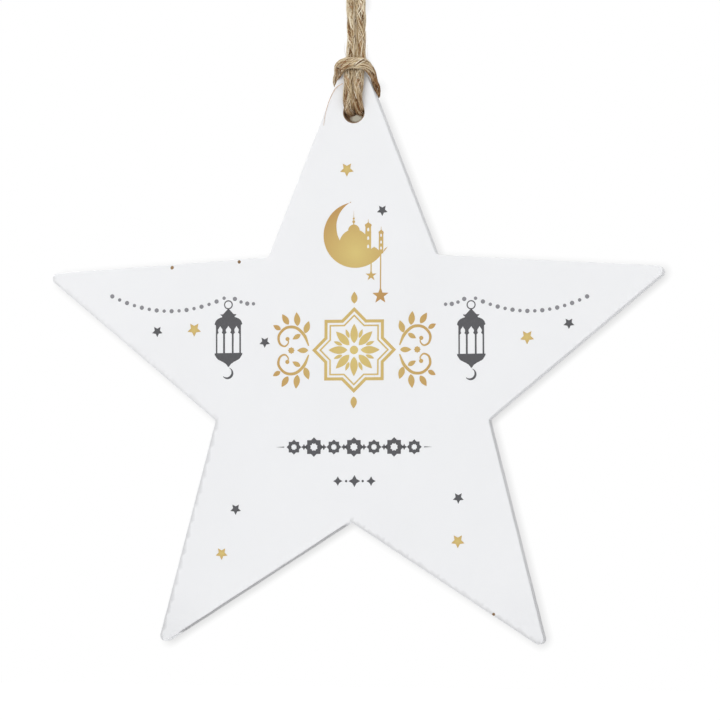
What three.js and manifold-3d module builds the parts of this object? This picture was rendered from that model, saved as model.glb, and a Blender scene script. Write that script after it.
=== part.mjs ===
// Wooden star ornament: a five-pointed star sawn from thin board, hung on a length of jute twine
// that is hitched through a hole near its top tip. Millimetres, +Z up, the printed front faces -Y.
// The origin is the hanging point, where the nail or hook sits inside the top of the twine's loop.

import * as THREE from 'three';
import { mergeVertices } from 'three/addons/utils/BufferGeometryUtils.js';
import Module from 'manifold-3d';

const wasm = await Module();
wasm.setup();

// Star board
const tipReach = 67.7; // star's centre to the point where the two sides of an arm would meet
const notchReach = 29.4; // star's centre to the inner corners between the arms
const tipRadius = 1.1; // round of each tip
const notchRadius = 0.8; // fillet in each inner corner
const boardThickness = 3;
const arrisRadius = 0.35; // sanded round along every edge, the rim of the hole included
const holeDiameter = 4.1;
const holeFromTip = 15; // down the top arm, from the point where its sides would meet
const holeShift = 0.2; // the hole is drilled a little to the right of the arm's middle line

// Twine, as it lies when it is pulled tight
const twineDiameter = 1.6;
const strandGap = 0.42; // between the two strands where they run side by side
const seatGap = 0.3; // between the twine and the board
const hangDrop = 52; // hanging point down to the point where the top arm's sides would meet
const swayHeight = 40; // each bending place of the twine, above that same point
const turnHeight = 25;
const bendHeight = 9.5;
const swayGap = 0.85; // room between strand ends that rock past each other
const turnGap = 0.3;
const bendGap = 0.3;

// Overhand knot that joins the twine's two ends above the hanging point
const knotStart = 4.5; // above the hanging point
const knotRise = 5; // start of the knot up to the middle of its turns
const knotRadius = 2.75; // of the ring that the knot's turns go round
const knotTurnRadius = 1.3; // of the turns themselves
const pressedDiameter = 2; // of the two strands pressed together in the knot
const knotOpening = 0.2; // radians of the ring on each side where the strands enter and leave
const tailRise = 9; // middle of the knot up to the cut ends

// Facets
const tipSegments = 7;
const notchSegments = 4;
const holeSegments = 32;
const arrisSegments = 2;
const twineSides = 8;

const armCount = 5;
const armStep = (2 * Math.PI) / armCount;
const strandOffset = (twineDiameter + strandGap) / 2;
const twineRadius = twineDiameter / 2;

// Half the angle between the two sides of an arm, worked out from the two reaches.
const armHalfAngle = Math.atan2(
  notchReach * Math.sin(armStep / 2),
  tipReach - notchReach * Math.cos(armStep / 2),
);

const boardMaterial = new THREE.MeshStandardMaterial({
  name: 'white_painted_wood',
  color: 0xf0f0f2,
  roughness: 0.55,
  metalness: 0,
});
const twineMaterial = new THREE.MeshStandardMaterial({
  name: 'jute_twine',
  color: 0xb49d76,
  roughness: 0.95,
  metalness: 0,
});

function arc(x, y, radius, from, to, segments) {
  const points = [];
  for (let step = 0; step <= segments; step += 1) {
    const angle = from + (step / segments) * (to - from);
    points.push(new THREE.Vector2(x + radius * Math.cos(angle), y + radius * Math.sin(angle)));
  }
  return points;
}

// The star's outline: straight sides, a round at each tip and a fillet in each inner corner.
function starOutline() {
  const sideNormal = Math.PI / 2 - armHalfAngle; // from an arm's axis to the normal of its side
  const tipCentre = tipReach - tipRadius / Math.sin(armHalfAngle);
  const notchCentre = notchReach + notchRadius / Math.sin(armHalfAngle + armStep / 2);
  const outline = [];
  for (let arm = 0; arm < armCount; arm += 1) {
    const axis = Math.PI / 2 + arm * armStep;
    outline.push(...arc(
      tipCentre * Math.cos(axis),
      tipCentre * Math.sin(axis),
      tipRadius,
      axis - sideNormal,
      axis + sideNormal,
      tipSegments,
    ));
    const notchAxis = axis + armStep / 2;
    outline.push(...arc(
      notchCentre * Math.cos(notchAxis),
      notchCentre * Math.sin(notchAxis),
      notchRadius,
      axis + sideNormal + Math.PI,
      axis + armStep - sideNormal + Math.PI,
      notchSegments,
    ));
  }
  return outline;
}

// The board: the outline with its twine hole, sawn through the thickness, every arris rounded.
function starBoard() {
  const shape = new THREE.Shape(starOutline());
  const rim = arc(
    holeShift,
    tipReach - holeFromTip,
    holeDiameter / 2,
    0,
    2 * Math.PI,
    holeSegments,
  );
  shape.holes.push(new THREE.Path(rim.slice(0, -1)));
  const geometry = new THREE.ExtrudeGeometry(shape, {
    depth: boardThickness - 2 * arrisRadius,
    bevelThickness: arrisRadius,
    bevelSize: arrisRadius,
    bevelOffset: -arrisRadius,
    bevelSegments: arrisSegments,
  });
  geometry.translate(0, 0, arrisRadius - boardThickness / 2);
  const mesh = new THREE.Mesh(geometry, boardMaterial);
  mesh.rotation.x = Math.PI / 2;
  return mesh;
}

// A round tube of twine along a smooth curve through the given points.
function twineTube(points, steps, diameter = twineDiameter) {
  const section = arc(0, 0, diameter / 2, 0, 2 * Math.PI, twineSides).slice(0, -1);
  return new THREE.ExtrudeGeometry(new THREE.Shape(section), {
    extrudePath: smoothCurve(points),
    steps,
    bevelEnabled: false,
  });
}

function smoothCurve(points) {
  const vectors = points.map((point) => new THREE.Vector3(...point));
  return new THREE.CatmullRomCurve3(vectors, false, 'centripetal');
}

function toSolid(geometry) {
  const bare = geometry.clone();
  bare.deleteAttribute('normal');
  bare.deleteAttribute('uv');
  const merged = mergeVertices(bare, 1e-4);
  return new wasm.Manifold(
    new wasm.Mesh({
      numProp: 3,
      vertProperties: new Float32Array(merged.attributes.position.array),
      triVerts: new Uint32Array(merged.index.array),
    }),
  );
}

function toGeometry(solid) {
  const mesh = solid.getMesh();
  const geometry = new THREE.BufferGeometry();
  geometry.setAttribute('position', new THREE.BufferAttribute(mesh.vertProperties, 3));
  geometry.setIndex(new THREE.BufferAttribute(mesh.triVerts, 1));
  return geometry;
}

function joined(geometries) {
  return toGeometry(geometries.map(toSolid).reduce((whole, piece) => whole.add(piece)));
}

// How far out the middle of the twine lies where it passes the side of the top arm.
// Heights are negative down the arm from the point where its sides would meet.
function besideArm(height) {
  return -height * Math.tan(armHalfAngle) + (seatGap + twineRadius) / Math.cos(armHalfAngle);
}

// The hitch's route, from the left strand's end down the front, through the hole, up the back,
// round the left side, across the front of both strands, round the right side and back the same
// way to the right strand's end. Heights are from the point where the top arm's sides would meet.
function hitchRoute() {
  const face = boardThickness / 2 + seatGap + twineRadius; // twine lying on a face of the board
  const collar = face + twineDiameter + 0.5; // twine lying over the two strands
  const inHole = -holeFromTip + 0.25; // the strands ride in the upper part of the hole
  const strand = (side) => [
    [0.1 + side * strandOffset, 0, bendHeight],
    [0.15 + side * strandOffset, -0.05, bendHeight - 1.7],
    [0.4 + side * strandOffset, -0.9, 5.2],
    [0.65 + side * strandOffset, -2.0, 2.4],
    [0.85 + side * strandOffset, -face + 0.05, -0.3],
    [0.8 + side * strandOffset, -face, -2.8],
    [0.55 + side * strandOffset, -face, -5.6],
    [0.3 + side * strandOffset, -face, -8.6],
    [holeShift + side * strandOffset, -face, inHole + 3.1],
    [holeShift + side * strandOffset, -face + 0.35, inHole + 1.35],
    [holeShift + side * strandOffset, -face + 1.3, inHole + 0.3],
    [holeShift + side * strandOffset, 0, inHole],
    [holeShift + side * strandOffset, face - 1.3, inHole + 0.3],
    [holeShift + side * (strandOffset + 0.02), face - 0.35, inHole + 1.35],
  ];
  const backLeft = [
    [-1.2, face, -11.9],
    [-2.45, face, -10.7],
    [0.2 - besideArm(-9.5), face - 0.6, -9.5],
    [-besideArm(-8.7), 0.4, -8.7],
    [-besideArm(-7.8), -1.1, -7.8],
    [0.1 - besideArm(-6.8), -2.35, -6.8],
  ];
  const front = [
    [-2.9, -collar + 1.2, -6.05],
    [-1.75, -collar + 0.2, -5.6],
    [-0.3, -collar, -5.3],
    [1.1, -collar, -5.2],
    [2.5, -collar + 0.15, -5.4],
    [3.35, -collar + 1.0, -6.0],
  ];
  const backRight = [
    [besideArm(-7.3) - 0.05, -2.3, -7.3],
    [besideArm(-8.7), -1.2, -8.7],
    [besideArm(-9.9), 0.2, -9.9],
    [besideArm(-10.8) - 0.35, face - 0.6, -10.8],
    [3.45, face, -11.5],
    [2.1, face, -11.65],
    [1.4, face, -12.3],
  ];
  return [...strand(-1), ...backLeft, ...front, ...backRight, ...strand(1).reverse()];
}

// The least gap that a tube keeps to itself along a route, away from its own neighbourhood.
function leastGap(points, diameter) {
  const sampleCount = 400;
  const samples = smoothCurve(points).getSpacedPoints(sampleCount);
  const spacing = smoothCurve(points).getLength() / sampleCount;
  const skip = Math.ceil((2 * diameter) / spacing);
  let least = Infinity;
  for (let i = 0; i < samples.length; i += 1) {
    for (let j = i + skip; j < samples.length; j += 1) {
      least = Math.min(least, samples[i].distanceTo(samples[j]));
    }
  }
  return least - diameter;
}

function hitch() {
  const route = hitchRoute();
  console.log(`hitch: least gap to itself ${leastGap(route, twineDiameter).toFixed(2)} mm`);
  const ends = [route[0], route[route.length - 1]].map((end) => {
    const ball = new THREE.SphereGeometry(twineRadius, twineSides, twineSides);
    return ball.translate(...end);
  });
  return new THREE.Mesh(joined([twineTube(route, 120), ...ends]), twineMaterial);
}

// The two strands between the bends: the lower pair straightens up to the middle line.
function lowerStrand(side) {
  return twineTube(
    [
      [0.1 + side * strandOffset, 0, bendHeight + twineRadius + bendGap],
      [0.08 + side * strandOffset, 0, bendHeight + 4],
      [side * strandOffset, 0, turnHeight - 4],
      [side * strandOffset, 0, turnHeight - turnGap / 2],
    ],
    8,
  );
}

function upperStrand(side) {
  return twineTube(
    [
      [side * strandOffset, 0, turnHeight + turnGap / 2],
      [side * strandOffset, 0, turnHeight + 4],
      [side * strandOffset, 0, swayHeight - 4],
      [side * strandOffset, 0, swayHeight - swayGap / 2],
    ],
    8,
  );
}

// One side of the hanging loop, round the nail and up to the knot. Heights from the nail.
function loopSide(side) {
  return twineTube(
    [
      [side * strandOffset, 0, swayHeight - hangDrop + swayGap / 2],
      [side * (strandOffset + 0.05), 0, -10.2],
      [side * 1.75, 0, -7.8],
      [side * 2.75, 0, -5.2],
      [side * 3.25, 0, -2.8],
      [side * 2.95, 0, -0.6],
      [side * 2.0, 0, 1.2],
      [side * 1.2, 0, 2.7],
      [side * strandOffset, 0, knotStart - 0.3],
    ],
    16,
  );
}

// The overhand knot's route: the pressed pair comes up, runs out under a ring, winds an open
// trefoil round the ring and leaves over its top. Heights are from the middle of the turns.
function knotRoute() {
  const turns = [];
  const turnSteps = 24;
  for (let step = 0; step <= turnSteps; step += 1) {
    const angle = knotOpening + (step / turnSteps) * 2 * (Math.PI - knotOpening);
    const reach = knotRadius + knotTurnRadius * Math.cos(3 * angle);
    turns.push([
      reach * Math.cos(2 * angle),
      reach * Math.sin(2 * angle),
      knotTurnRadius * Math.sin(3 * angle),
    ]);
  }
  return [
    [0, 0, 1 - knotRise],
    [0.55, 0.05, 1.8 - knotRise],
    [2.4, 0.45, -2.9],
    [4.0, 1.1, -1.6],
    ...turns,
    [4.15, -1.05, 0.8],
    [3.7, -1.0, 2.8],
    [2.0, -0.6, 4.2],
    [0.4, -0.2, 4.9],
  ];
}

// The two strands' ends come out of the knot as tails.
function tailRoute(side) {
  return [
    [side * 0.35 + 0.5, -0.25, 4.4],
    [side * 0.8 + 0.1, -0.2, 5.4],
    [side * 2.0, -0.1, 0.78 * tailRise],
    [side * 2.7, 0, tailRise + side * 0.6],
  ];
}

function knotEntry(side) {
  return [
    [side * strandOffset, 0, -knotRise],
    [side * strandOffset, 0, 0.5 - knotRise],
    [side * 0.35, 0, 1.7 - knotRise],
  ];
}

function endKnot() {
  const route = knotRoute();
  console.log(`end knot: least gap to itself ${leastGap(route, pressedDiameter).toFixed(2)} mm`);
  const pieces = [twineTube(route, 76, pressedDiameter)];
  for (const side of [-1, 1]) {
    pieces.push(twineTube(knotEntry(side), 4), twineTube(tailRoute(side), 8));
  }
  const mesh = new THREE.Mesh(joined(pieces), twineMaterial);
  mesh.position.z = knotStart + knotRise;
  return mesh;
}

function named(name, mesh) {
  mesh.name = name;
  return mesh;
}

const ornament = new THREE.Group();

const star = new THREE.Group();
star.position.z = -(hangDrop + tipReach);
star.add(named('star_board', starBoard()));
ornament.add(star);

const topOfArm = new THREE.Group();
topOfArm.position.z = -hangDrop;
topOfArm.add(named('twine_hitch', hitch()));
for (const [word, side] of [['left', -1], ['right', 1]]) {
  topOfArm.add(named(`lower_strand_${word}`, new THREE.Mesh(lowerStrand(side), twineMaterial)));
  topOfArm.add(named(`upper_strand_${word}`, new THREE.Mesh(upperStrand(side), twineMaterial)));
  ornament.add(named(`hanging_loop_${word}`, new THREE.Mesh(loopSide(side), twineMaterial)));
}
ornament.add(topOfArm);
ornament.add(named('end_knot', endKnot()));

export default ornament;
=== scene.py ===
# Looks of the wooden star ornament: painted board with printed motifs, hung on twisted jute twine.
# Sizes are in millimetres times MM, so in metres; +Z is up and the printed front faces -Y.
# The origin is the hanging point. The star's centre lies CENTRE_Z below it.

import math

import bpy
import numpy as np
from mathutils import Matrix, Vector
from mathutils.geometry import delaunay_2d_cdt


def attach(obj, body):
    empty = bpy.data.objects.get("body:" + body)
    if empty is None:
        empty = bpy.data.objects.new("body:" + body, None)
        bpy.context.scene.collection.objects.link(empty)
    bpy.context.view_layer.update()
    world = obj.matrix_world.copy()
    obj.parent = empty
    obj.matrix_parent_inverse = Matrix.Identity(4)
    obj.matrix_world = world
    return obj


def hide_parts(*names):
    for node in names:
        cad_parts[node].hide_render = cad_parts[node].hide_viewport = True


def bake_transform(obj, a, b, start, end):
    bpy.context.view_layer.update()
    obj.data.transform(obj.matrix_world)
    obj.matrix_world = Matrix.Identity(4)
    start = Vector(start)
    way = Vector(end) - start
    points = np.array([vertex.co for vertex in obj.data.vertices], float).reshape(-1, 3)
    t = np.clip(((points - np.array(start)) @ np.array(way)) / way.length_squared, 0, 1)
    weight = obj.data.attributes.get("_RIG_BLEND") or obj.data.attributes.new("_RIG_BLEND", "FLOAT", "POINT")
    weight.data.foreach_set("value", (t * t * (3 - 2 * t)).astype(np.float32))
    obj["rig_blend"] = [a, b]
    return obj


MM = 0.001

# Board, as in the frame
TIP_REACH = 67.7
NOTCH_REACH = 29.4
TIP_RADIUS = 1.1
NOTCH_RADIUS = 0.8
BOARD_THICKNESS = 3.0
HOLE_DIAMETER = 4.1
HOLE_FROM_TIP = 15.0
HOLE_SHIFT = 0.2
ARM_COUNT = 5

# Board, as it looks
ARRIS_RADIUS = 0.25

# Twine, as in the frame
HANG_DROP = 52.0
SWAY_HEIGHT = 40.0
TURN_HEIGHT = 25.0
BEND_HEIGHT = 9.5
KNOT_CENTRE = 9.5
KNOT_RADIUS = 2.75
KNOT_TURN_RADIUS = 1.3
KNOT_OPENING = 0.2

# Twine, as it looks
TWINE_DIAMETER = 1.92
STRAND_OFFSET = 0.91
FRONT_OFFSET = 0.93
LAY_LENGTH = 14.0
PLY_COUNT = 3
PLY_PLACE = 0.33
PLY_SIZE = 0.67
RIDGES_PER_PLY = 30
TWINE_STEP = 0.3

CENTRE_Z = -(HANG_DROP + TIP_REACH)
TIP_Z = -HANG_DROP
HALF_BOARD = BOARD_THICKNESS / 2
HOLE_PLACE = (HOLE_SHIFT, TIP_REACH - HOLE_FROM_TIP)
ARM_STEP = 2 * math.pi / ARM_COUNT
ARM_HALF_ANGLE = math.atan2(
    NOTCH_REACH * math.sin(ARM_STEP / 2),
    TIP_REACH - NOTCH_REACH * math.cos(ARM_STEP / 2),
)

# Camera: the photograph looks at the star a little from the right and from below
CAMERA_PLACE = (156.65, -695.34, -161.26)
CAMERA_TURN = 12.582
CAMERA_TILT = 3.577
CAMERA_ROLL = 0.36
CAMERA_LENS = 178.32

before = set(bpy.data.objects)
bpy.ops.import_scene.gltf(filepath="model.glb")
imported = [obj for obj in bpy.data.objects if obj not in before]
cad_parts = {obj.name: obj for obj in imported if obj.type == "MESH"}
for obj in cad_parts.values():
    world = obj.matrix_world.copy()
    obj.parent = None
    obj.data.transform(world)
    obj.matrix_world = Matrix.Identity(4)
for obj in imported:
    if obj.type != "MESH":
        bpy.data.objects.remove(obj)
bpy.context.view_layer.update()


def srgb(red, green, blue):
    """A colour given as 0 to 255 on screen, as the linear colour that shaders take."""
    channels = np.array([red, green, blue]) / 255
    linear = np.where(channels <= 0.04045, channels / 12.92, ((channels + 0.055) / 1.055) ** 2.4)
    return (*linear.tolist(), 1.0)


# Colours
PAINT = srgb(240, 241, 243)
PAINT_SHADE = srgb(238, 239, 241)
# The grey towards which painted shade on the board's sides and arris lines goes
PAINTED_SHADE_GREY = srgb(150, 150, 152)
BARE_WOOD = srgb(176, 146, 108)
DARK_WOOD = srgb(96, 66, 44)
GOLD_LIGHT = srgb(214, 192, 120)
GOLD_DEEP = srgb(186, 143, 85)
INK_DARK = srgb(84, 84, 87)
INK_GREY = srgb(134, 134, 138)
JUTE_LIGHT = srgb(250, 241, 220)
JUTE_MID = srgb(209, 187, 146)
JUTE_DARK = srgb(122, 82, 42)
JUTE_DEEP = srgb(86, 56, 28)
JUTE_RED = srgb(186, 112, 74)
# The tint of the painted shade on the twine
TWINE_SHADE_TINT = srgb(182, 156, 130)


# Shader helpers


def new_material(name):
    """An empty node material: its node tree and its Principled shader."""
    material = bpy.data.materials.new(name)
    material.use_nodes = True
    tree = material.node_tree
    return material, tree, tree.nodes["Principled BSDF"]


def fill_inputs(tree, node, inputs):
    """Sets the node's inputs to values, or links them to sockets."""
    for name, value in inputs.items():
        if isinstance(value, bpy.types.NodeSocket):
            tree.links.new(value, node.inputs[name])
        else:
            node.inputs[name].default_value = value


def add_node(tree, kind, inputs=None, **settings):
    """A node with its settings and inputs."""
    node = tree.nodes.new(kind)
    for name, value in settings.items():
        setattr(node, name, value)
    fill_inputs(tree, node, inputs or {})
    return node


def calculate(tree, operation, *values):
    inputs = dict(enumerate(values))
    return add_node(tree, "ShaderNodeMath", inputs, operation=operation).outputs[0]


def add_share(tree, base, value, share):
    """The base plus a share of the value."""
    return calculate(tree, "ADD", base, calculate(tree, "MULTIPLY", value, share))


def vector_math(tree, operation, *vectors):
    """A number for the operations DISTANCE and LENGTH, else a vector."""
    node = add_node(tree, "ShaderNodeVectorMath", dict(enumerate(vectors)), operation=operation)
    return node.outputs["Value" if operation in ("DISTANCE", "LENGTH") else "Vector"]


def vector(tree, *channels):
    return add_node(tree, "ShaderNodeCombineXYZ", dict(enumerate(channels))).outputs[0]


def openness(tree, reach, facing, samples):
    """1 where nothing is within reach on the side that it faces, and less where something is."""
    inputs = {"Distance": reach, "Normal": vector(tree, *facing)}
    return add_node(tree, "ShaderNodeAmbientOcclusion", inputs, samples=samples).outputs["AO"]


def mix_colours(tree, factor, first, second, blend_type="MIX"):
    node = add_node(tree, "ShaderNodeMix", data_type="RGBA", blend_type=blend_type)
    number = {socket.identifier: i for i, socket in enumerate(node.inputs)}
    sockets = {"Factor_Float": factor, "A_Color": first, "B_Color": second}
    fill_inputs(tree, node, {number[name]: value for name, value in sockets.items()})
    return next(s for s in node.outputs if s.identifier == "Result_Color")


def ramp(tree, value, low, high):
    """0 below low, 1 above high and even in between."""
    inputs = {"Value": value, "From Min": low, "From Max": high}
    return add_node(tree, "ShaderNodeMapRange", inputs).outputs[0]


def noise(tree, scale, place, detail=2.0, stretch=(1, 1, 1)):
    """Noise whose grains are about 1 / scale metres, drawn out by the stretch."""
    mapping = add_node(tree, "ShaderNodeMapping", {"Vector": place, "Scale": stretch})
    inputs = {"Vector": mapping.outputs[0], "Scale": scale, "Detail": detail}
    return add_node(tree, "ShaderNodeTexNoise", inputs).outputs[0]


def attribute(tree, name):
    return add_node(tree, "ShaderNodeAttribute", attribute_name=name).outputs["Fac"]


def bump(tree, height, strength, distance):
    inputs = {"Height": height, "Strength": strength, "Distance": distance}
    return add_node(tree, "ShaderNodeBump", inputs).outputs[0]


def object_place(tree):
    return add_node(tree, "ShaderNodeTexCoord").outputs["Object"]


# Materials


# Where the paint is rubbed through at the edge: x, z and how far it reaches
WORN_SPOTS = [(-37.3, 21.9, 0.55), (-23.3, 22.9, 0.5), (29.1, -47.6, 0.5)]
WORN_CORE = 0.3
# Grains to the metre
WEAR_GRAIN, MOTTLE_GRAIN, LAYER_GRAIN, WOOD_GRAIN = 700, 45, 60, 500
RIDGE_GRAIN, PEEL_GRAIN, INK_GRAIN = 60, 900, 2500
# How much the grains are drawn out along the board's layers and along the paint's ridges
LAYER_STRETCH = (1, 16, 1)
RIDGE_STRETCH = (0.25, 1, 3.5)
JUTE_STRETCH = (26, 0.8, 1)
JUTE_CONTRAST = 0.9
PAINT_SPECULAR = 0.3


def worn_through(tree, place, grain):
    """1 at the rubbed spots, whose edges are ragged, and 0 elsewhere."""
    wear = 0.0
    for x, z, reach in WORN_SPOTS:
        spot = (x * MM, -HALF_BOARD * MM, (z + CENTRE_Z) * MM)
        away = vector_math(tree, "DISTANCE", place, spot)
        near = ramp(tree, away, reach * MM, WORN_CORE * reach * MM)
        wear = calculate(tree, "MAXIMUM", wear, near)
    ragged = ramp(tree, add_share(tree, wear, grain, 0.8), 0.75, 1.0)
    return calculate(tree, "MULTIPLY", ragged, ramp(tree, wear, 0.0, 0.2))


def painted_wood():
    """Satin white paint with faint grain under it, bare at a few rubbed spots and in the hole."""
    material, tree, shader = new_material("painted_wood")
    place = object_place(tree)
    grain = noise(tree, WEAR_GRAIN, place, 3)
    rim = ramp(tree, add_share(tree, attribute(tree, "bore"), grain, 0.4), 0.6, 0.9)
    bare = calculate(tree, "MAXIMUM", worn_through(tree, place, grain), rim)
    mottle = noise(tree, MOTTLE_GRAIN, place, 3)
    paint = mix_colours(tree, ramp(tree, mottle, 0.3, 0.8), PAINT, PAINT_SHADE)
    layers = add_share(tree, 0.4, noise(tree, LAYER_GRAIN, place, 3, LAYER_STRETCH), 1.2)
    # Painted shade on the board's sides, and darker paint towards the lower tips, streaked along the layers
    streaked_shade = calculate(tree, "MULTIPLY", attribute(tree, "painted_shade"), layers)
    paint = mix_colours(tree, streaked_shade, paint, PAINTED_SHADE_GREY)
    wood = mix_colours(tree, noise(tree, WOOD_GRAIN, place, 2), BARE_WOOD, DARK_WOOD)
    ridges = noise(tree, RIDGE_GRAIN, place, 3, RIDGE_STRETCH)
    height = add_share(tree, ridges, noise(tree, PEEL_GRAIN, place, 2), 0.25)
    fill_inputs(tree, shader, {
        "Base Color": mix_colours(tree, bare, paint, wood),
        "Roughness": calculate(tree, "MAXIMUM", ramp(tree, mottle, -1.2, 2.6), bare),
        "Normal": bump(tree, height, 0.25, 0.00008),
        "Specular IOR Level": PAINT_SPECULAR,
    })
    return material


def new_ink(name):
    """An ink that still has no colour: its material, node tree, shader and fine grain."""
    material, tree, shader = new_material(name)
    grain = noise(tree, INK_GRAIN, object_place(tree), 2)
    roughness = ramp(tree, grain, -1.0, 1.6)
    fill_inputs(tree, shader, {"Roughness": roughness, "Specular IOR Level": PAINT_SPECULAR})
    return material, tree, shader, grain


def gold_ink():
    """Printed gold: a flat warm ink, lighter where the glow attribute is high."""
    material, tree, shader, grain = new_ink("gold_ink")
    glow = calculate(tree, "ADD", attribute(tree, "glow"), ramp(tree, grain, 0.2, 9.0))
    colour = mix_colours(tree, ramp(tree, glow, 0.0, 1.0), GOLD_DEEP, GOLD_LIGHT)
    fill_inputs(tree, shader, {"Base Color": colour})
    return material


def plain_ink(name, colour):
    material, tree, shader, grain = new_ink(name)
    lighter = tuple(min(1.0, 1.25 * channel) for channel in colour[:3]) + (1.0,)
    speckled = mix_colours(tree, ramp(tree, grain, 0.45, 0.9), colour, lighter)
    fill_inputs(tree, shader, {"Base Color": speckled})
    return material


def jute():
    """Dry plant fibre, straw-coloured to dark tan from fibre to fibre, with painted shade down in the
    grooves, and painted shade or painted light where the route asks for them.
    """
    material, tree, shader = new_material("jute_twine")
    where = vector(tree, attribute(tree, "around"), attribute(tree, "along"))
    strands = noise(tree, 1.0, where, 4, JUTE_STRETCH)
    contrast = calculate(tree, "SUBTRACT", strands, 0.5)
    tone = add_share(tree, attribute(tree, "fibre"), contrast, JUTE_CONTRAST)
    low = mix_colours(tree, ramp(tree, tone, 0.12, 0.52), JUTE_DARK, JUTE_MID)
    high = mix_colours(tree, ramp(tree, tone, 0.45, 0.95), low, JUTE_LIGHT)
    # Painted shade: darker down in the grooves between the plies, and on fibres that less light reaches
    groove = ramp(tree, attribute(tree, "groove"), 0.0, 1.0)
    shaded = mix_colours(tree, groove, JUTE_DEEP, high)
    # Painted shade on the twine where the route asks for it, tinted warmer
    shade_tinted = mix_colours(tree, attribute(tree, "painted_shading"), shaded, TWINE_SHADE_TINT, "MULTIPLY")
    fill_inputs(tree, shader, {
        "Base Color": mix_colours(tree, attribute(tree, "red"), shade_tinted, JUTE_RED),
        "Normal": bump(tree, strands, 0.6, 0.00012),
        "Roughness": 0.85,
        "Specular IOR Level": 0.12,
        "Sheen Weight": 0.05,
    })
    return material


# Flat shapes, in board millimetres: x to the right and z up from the star's centre


def unit(angles):
    """The unit vector at each angle."""
    return np.stack([np.cos(angles), np.sin(angles)], axis=1)


def arc(x, z, radius, start, end, steps):
    return [x, z] + radius * unit(np.linspace(start, end, steps + 1))


def disc(x, z, radius, steps=24):
    return arc(x, z, radius, 0, 2 * math.pi, steps)[:-1]


def points_star(x, z, reach, inner, points, first_angle):
    """A star polygon: its outer points at reach and its inner corners at inner."""
    angles = first_angle + np.arange(2 * points) * math.pi / points
    return [x, z] + np.tile([reach, inner], points)[:, None] * unit(angles)


def turned(shape, angle, x=0.0, z=0.0):
    """The shape turned about the origin and then moved."""
    c, s = math.cos(angle), math.sin(angle)
    return np.asarray(shape) @ np.array([[c, s], [-s, c]]) + [x, z]


def mirrored(shape):
    return np.asarray(shape) * [-1, 1]


def stroke(points, widths):
    """A pen stroke along the points, with its width at each of them."""
    points = np.asarray(points, float)
    along = np.gradient(points, axis=0)
    along /= np.linalg.norm(along, axis=1)[:, None]
    side = np.stack([-along[:, 1], along[:, 0]], axis=1) * (np.asarray(widths) / 2)[:, None]
    return np.concatenate([points + side, (points - side)[::-1]])


def inside(points, outline):
    """Whether each point lies inside the outline."""
    x, z = points[:, 0][:, None], points[:, 1][:, None]
    ax, az = outline[:, 0][None], outline[:, 1][None]
    bx, bz = np.roll(outline, -1, axis=0).T[:, None]
    spans = (az > z) != (bz > z)
    rise = np.where(bz == az, 1e-12, bz - az)
    return (spans & (x < (bx - ax) * (z - az) / rise + ax)).sum(axis=1) % 2 == 1


def fill(solids, cutouts=(), extra=()):
    """Points and triangles that cover the solids but not the cutouts, through the extra points."""
    points, faces = [], []
    for outline in [*solids, *cutouts]:
        faces.append(list(range(len(points), len(points) + len(outline))))
        points += [Vector(p) for p in outline]
    points += [Vector(p) for p in extra]
    made, _, triangles, _, _, _ = delaunay_2d_cdt(points, [], faces, 1, 1e-6)
    made = np.array([tuple(p) for p in made])
    triangles = np.array(triangles)
    centres = made[triangles].mean(axis=1)
    kept = np.any([inside(centres, np.asarray(s)) for s in solids], axis=0)
    for cutout in cutouts:
        kept &= ~inside(centres, np.asarray(cutout))
    return made, triangles[kept]


def grid_inside(outlines, step):
    """Grid points inside the outlines, away from their edges."""
    every = np.concatenate(outlines)
    low, high = every.min(axis=0), every.max(axis=0)
    x, z = np.meshgrid(np.arange(low[0], high[0], step), np.arange(low[1], high[1], step))
    points = np.stack([x.ravel(), z.ravel()], axis=1)
    within = np.any([inside(points, np.asarray(o)) for o in outlines], axis=0)
    return points[within]


# Meshes


def add_to_scene(name, data):
    """A new object that shows the data."""
    made = bpy.data.objects.new(name, data)
    bpy.context.scene.collection.objects.link(made)
    return made


def mesh_object(name, points, faces, material, attributes=None, normals=None):
    """A mesh object in the row frame from points in millimetres."""
    mesh = bpy.data.meshes.new(name)
    mesh.from_pydata((np.asarray(points) * MM).tolist(), [], faces)
    for key, values in (attributes or {}).items():
        layer = mesh.attributes.new(key, "FLOAT", "POINT")
        layer.data.foreach_set("value", np.asarray(values, np.float32))
    mesh.shade_smooth()
    if normals is not None:
        mesh.normals_split_custom_set_from_vertices(np.asarray(normals).tolist())
    mesh.materials.append(material)
    return add_to_scene(name, mesh)


def at_depth(flat, depth):
    """Flat points as points in space, all at that depth."""
    return np.column_stack([flat[:, 0], np.full(len(flat), depth), flat[:, 1]])


INK_THICKNESS = 0.03
INK_SEAT = 0.005
GLOW_GRID = 0.45


def ink_film(name, groups, material, glow=None):
    """A thin closed film of ink on the board's front, from groups of solids with their cutouts.
    Glow gives the ink's lightness by place."""
    flat, triangles, total = [], [], 0
    for solids, cutouts in groups:
        extra = grid_inside(solids, GLOW_GRID) if glow else ()
        points, faces = fill(solids, cutouts, extra)
        flat.append(points)
        triangles.append(faces + total)
        total += len(points)
    flat, triangles = np.concatenate(flat), np.concatenate(triangles)
    depths = (-HALF_BOARD - INK_THICKNESS, -HALF_BOARD + INK_SEAT)
    layers = [at_depth(flat + [0, CENTRE_Z], depth) for depth in depths]
    edges = {edge for a, b, c in triangles.tolist() for edge in ((a, b), (b, c), (c, a))}
    rim = [(a, b) for a, b in edges if (b, a) not in edges]
    faces = triangles.tolist()
    faces += [[c + total, b + total, a + total] for a, b, c in triangles.tolist()]
    faces += [[b, a, a + total, b + total] for a, b in rim]
    attributes = {"glow": np.tile(glow(flat[:, 0], flat[:, 1]), 2)} if glow else {}
    piece = mesh_object(name, np.concatenate(layers), faces, material, attributes)
    piece.data.shade_flat()
    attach(piece, "star")


# The board


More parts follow.
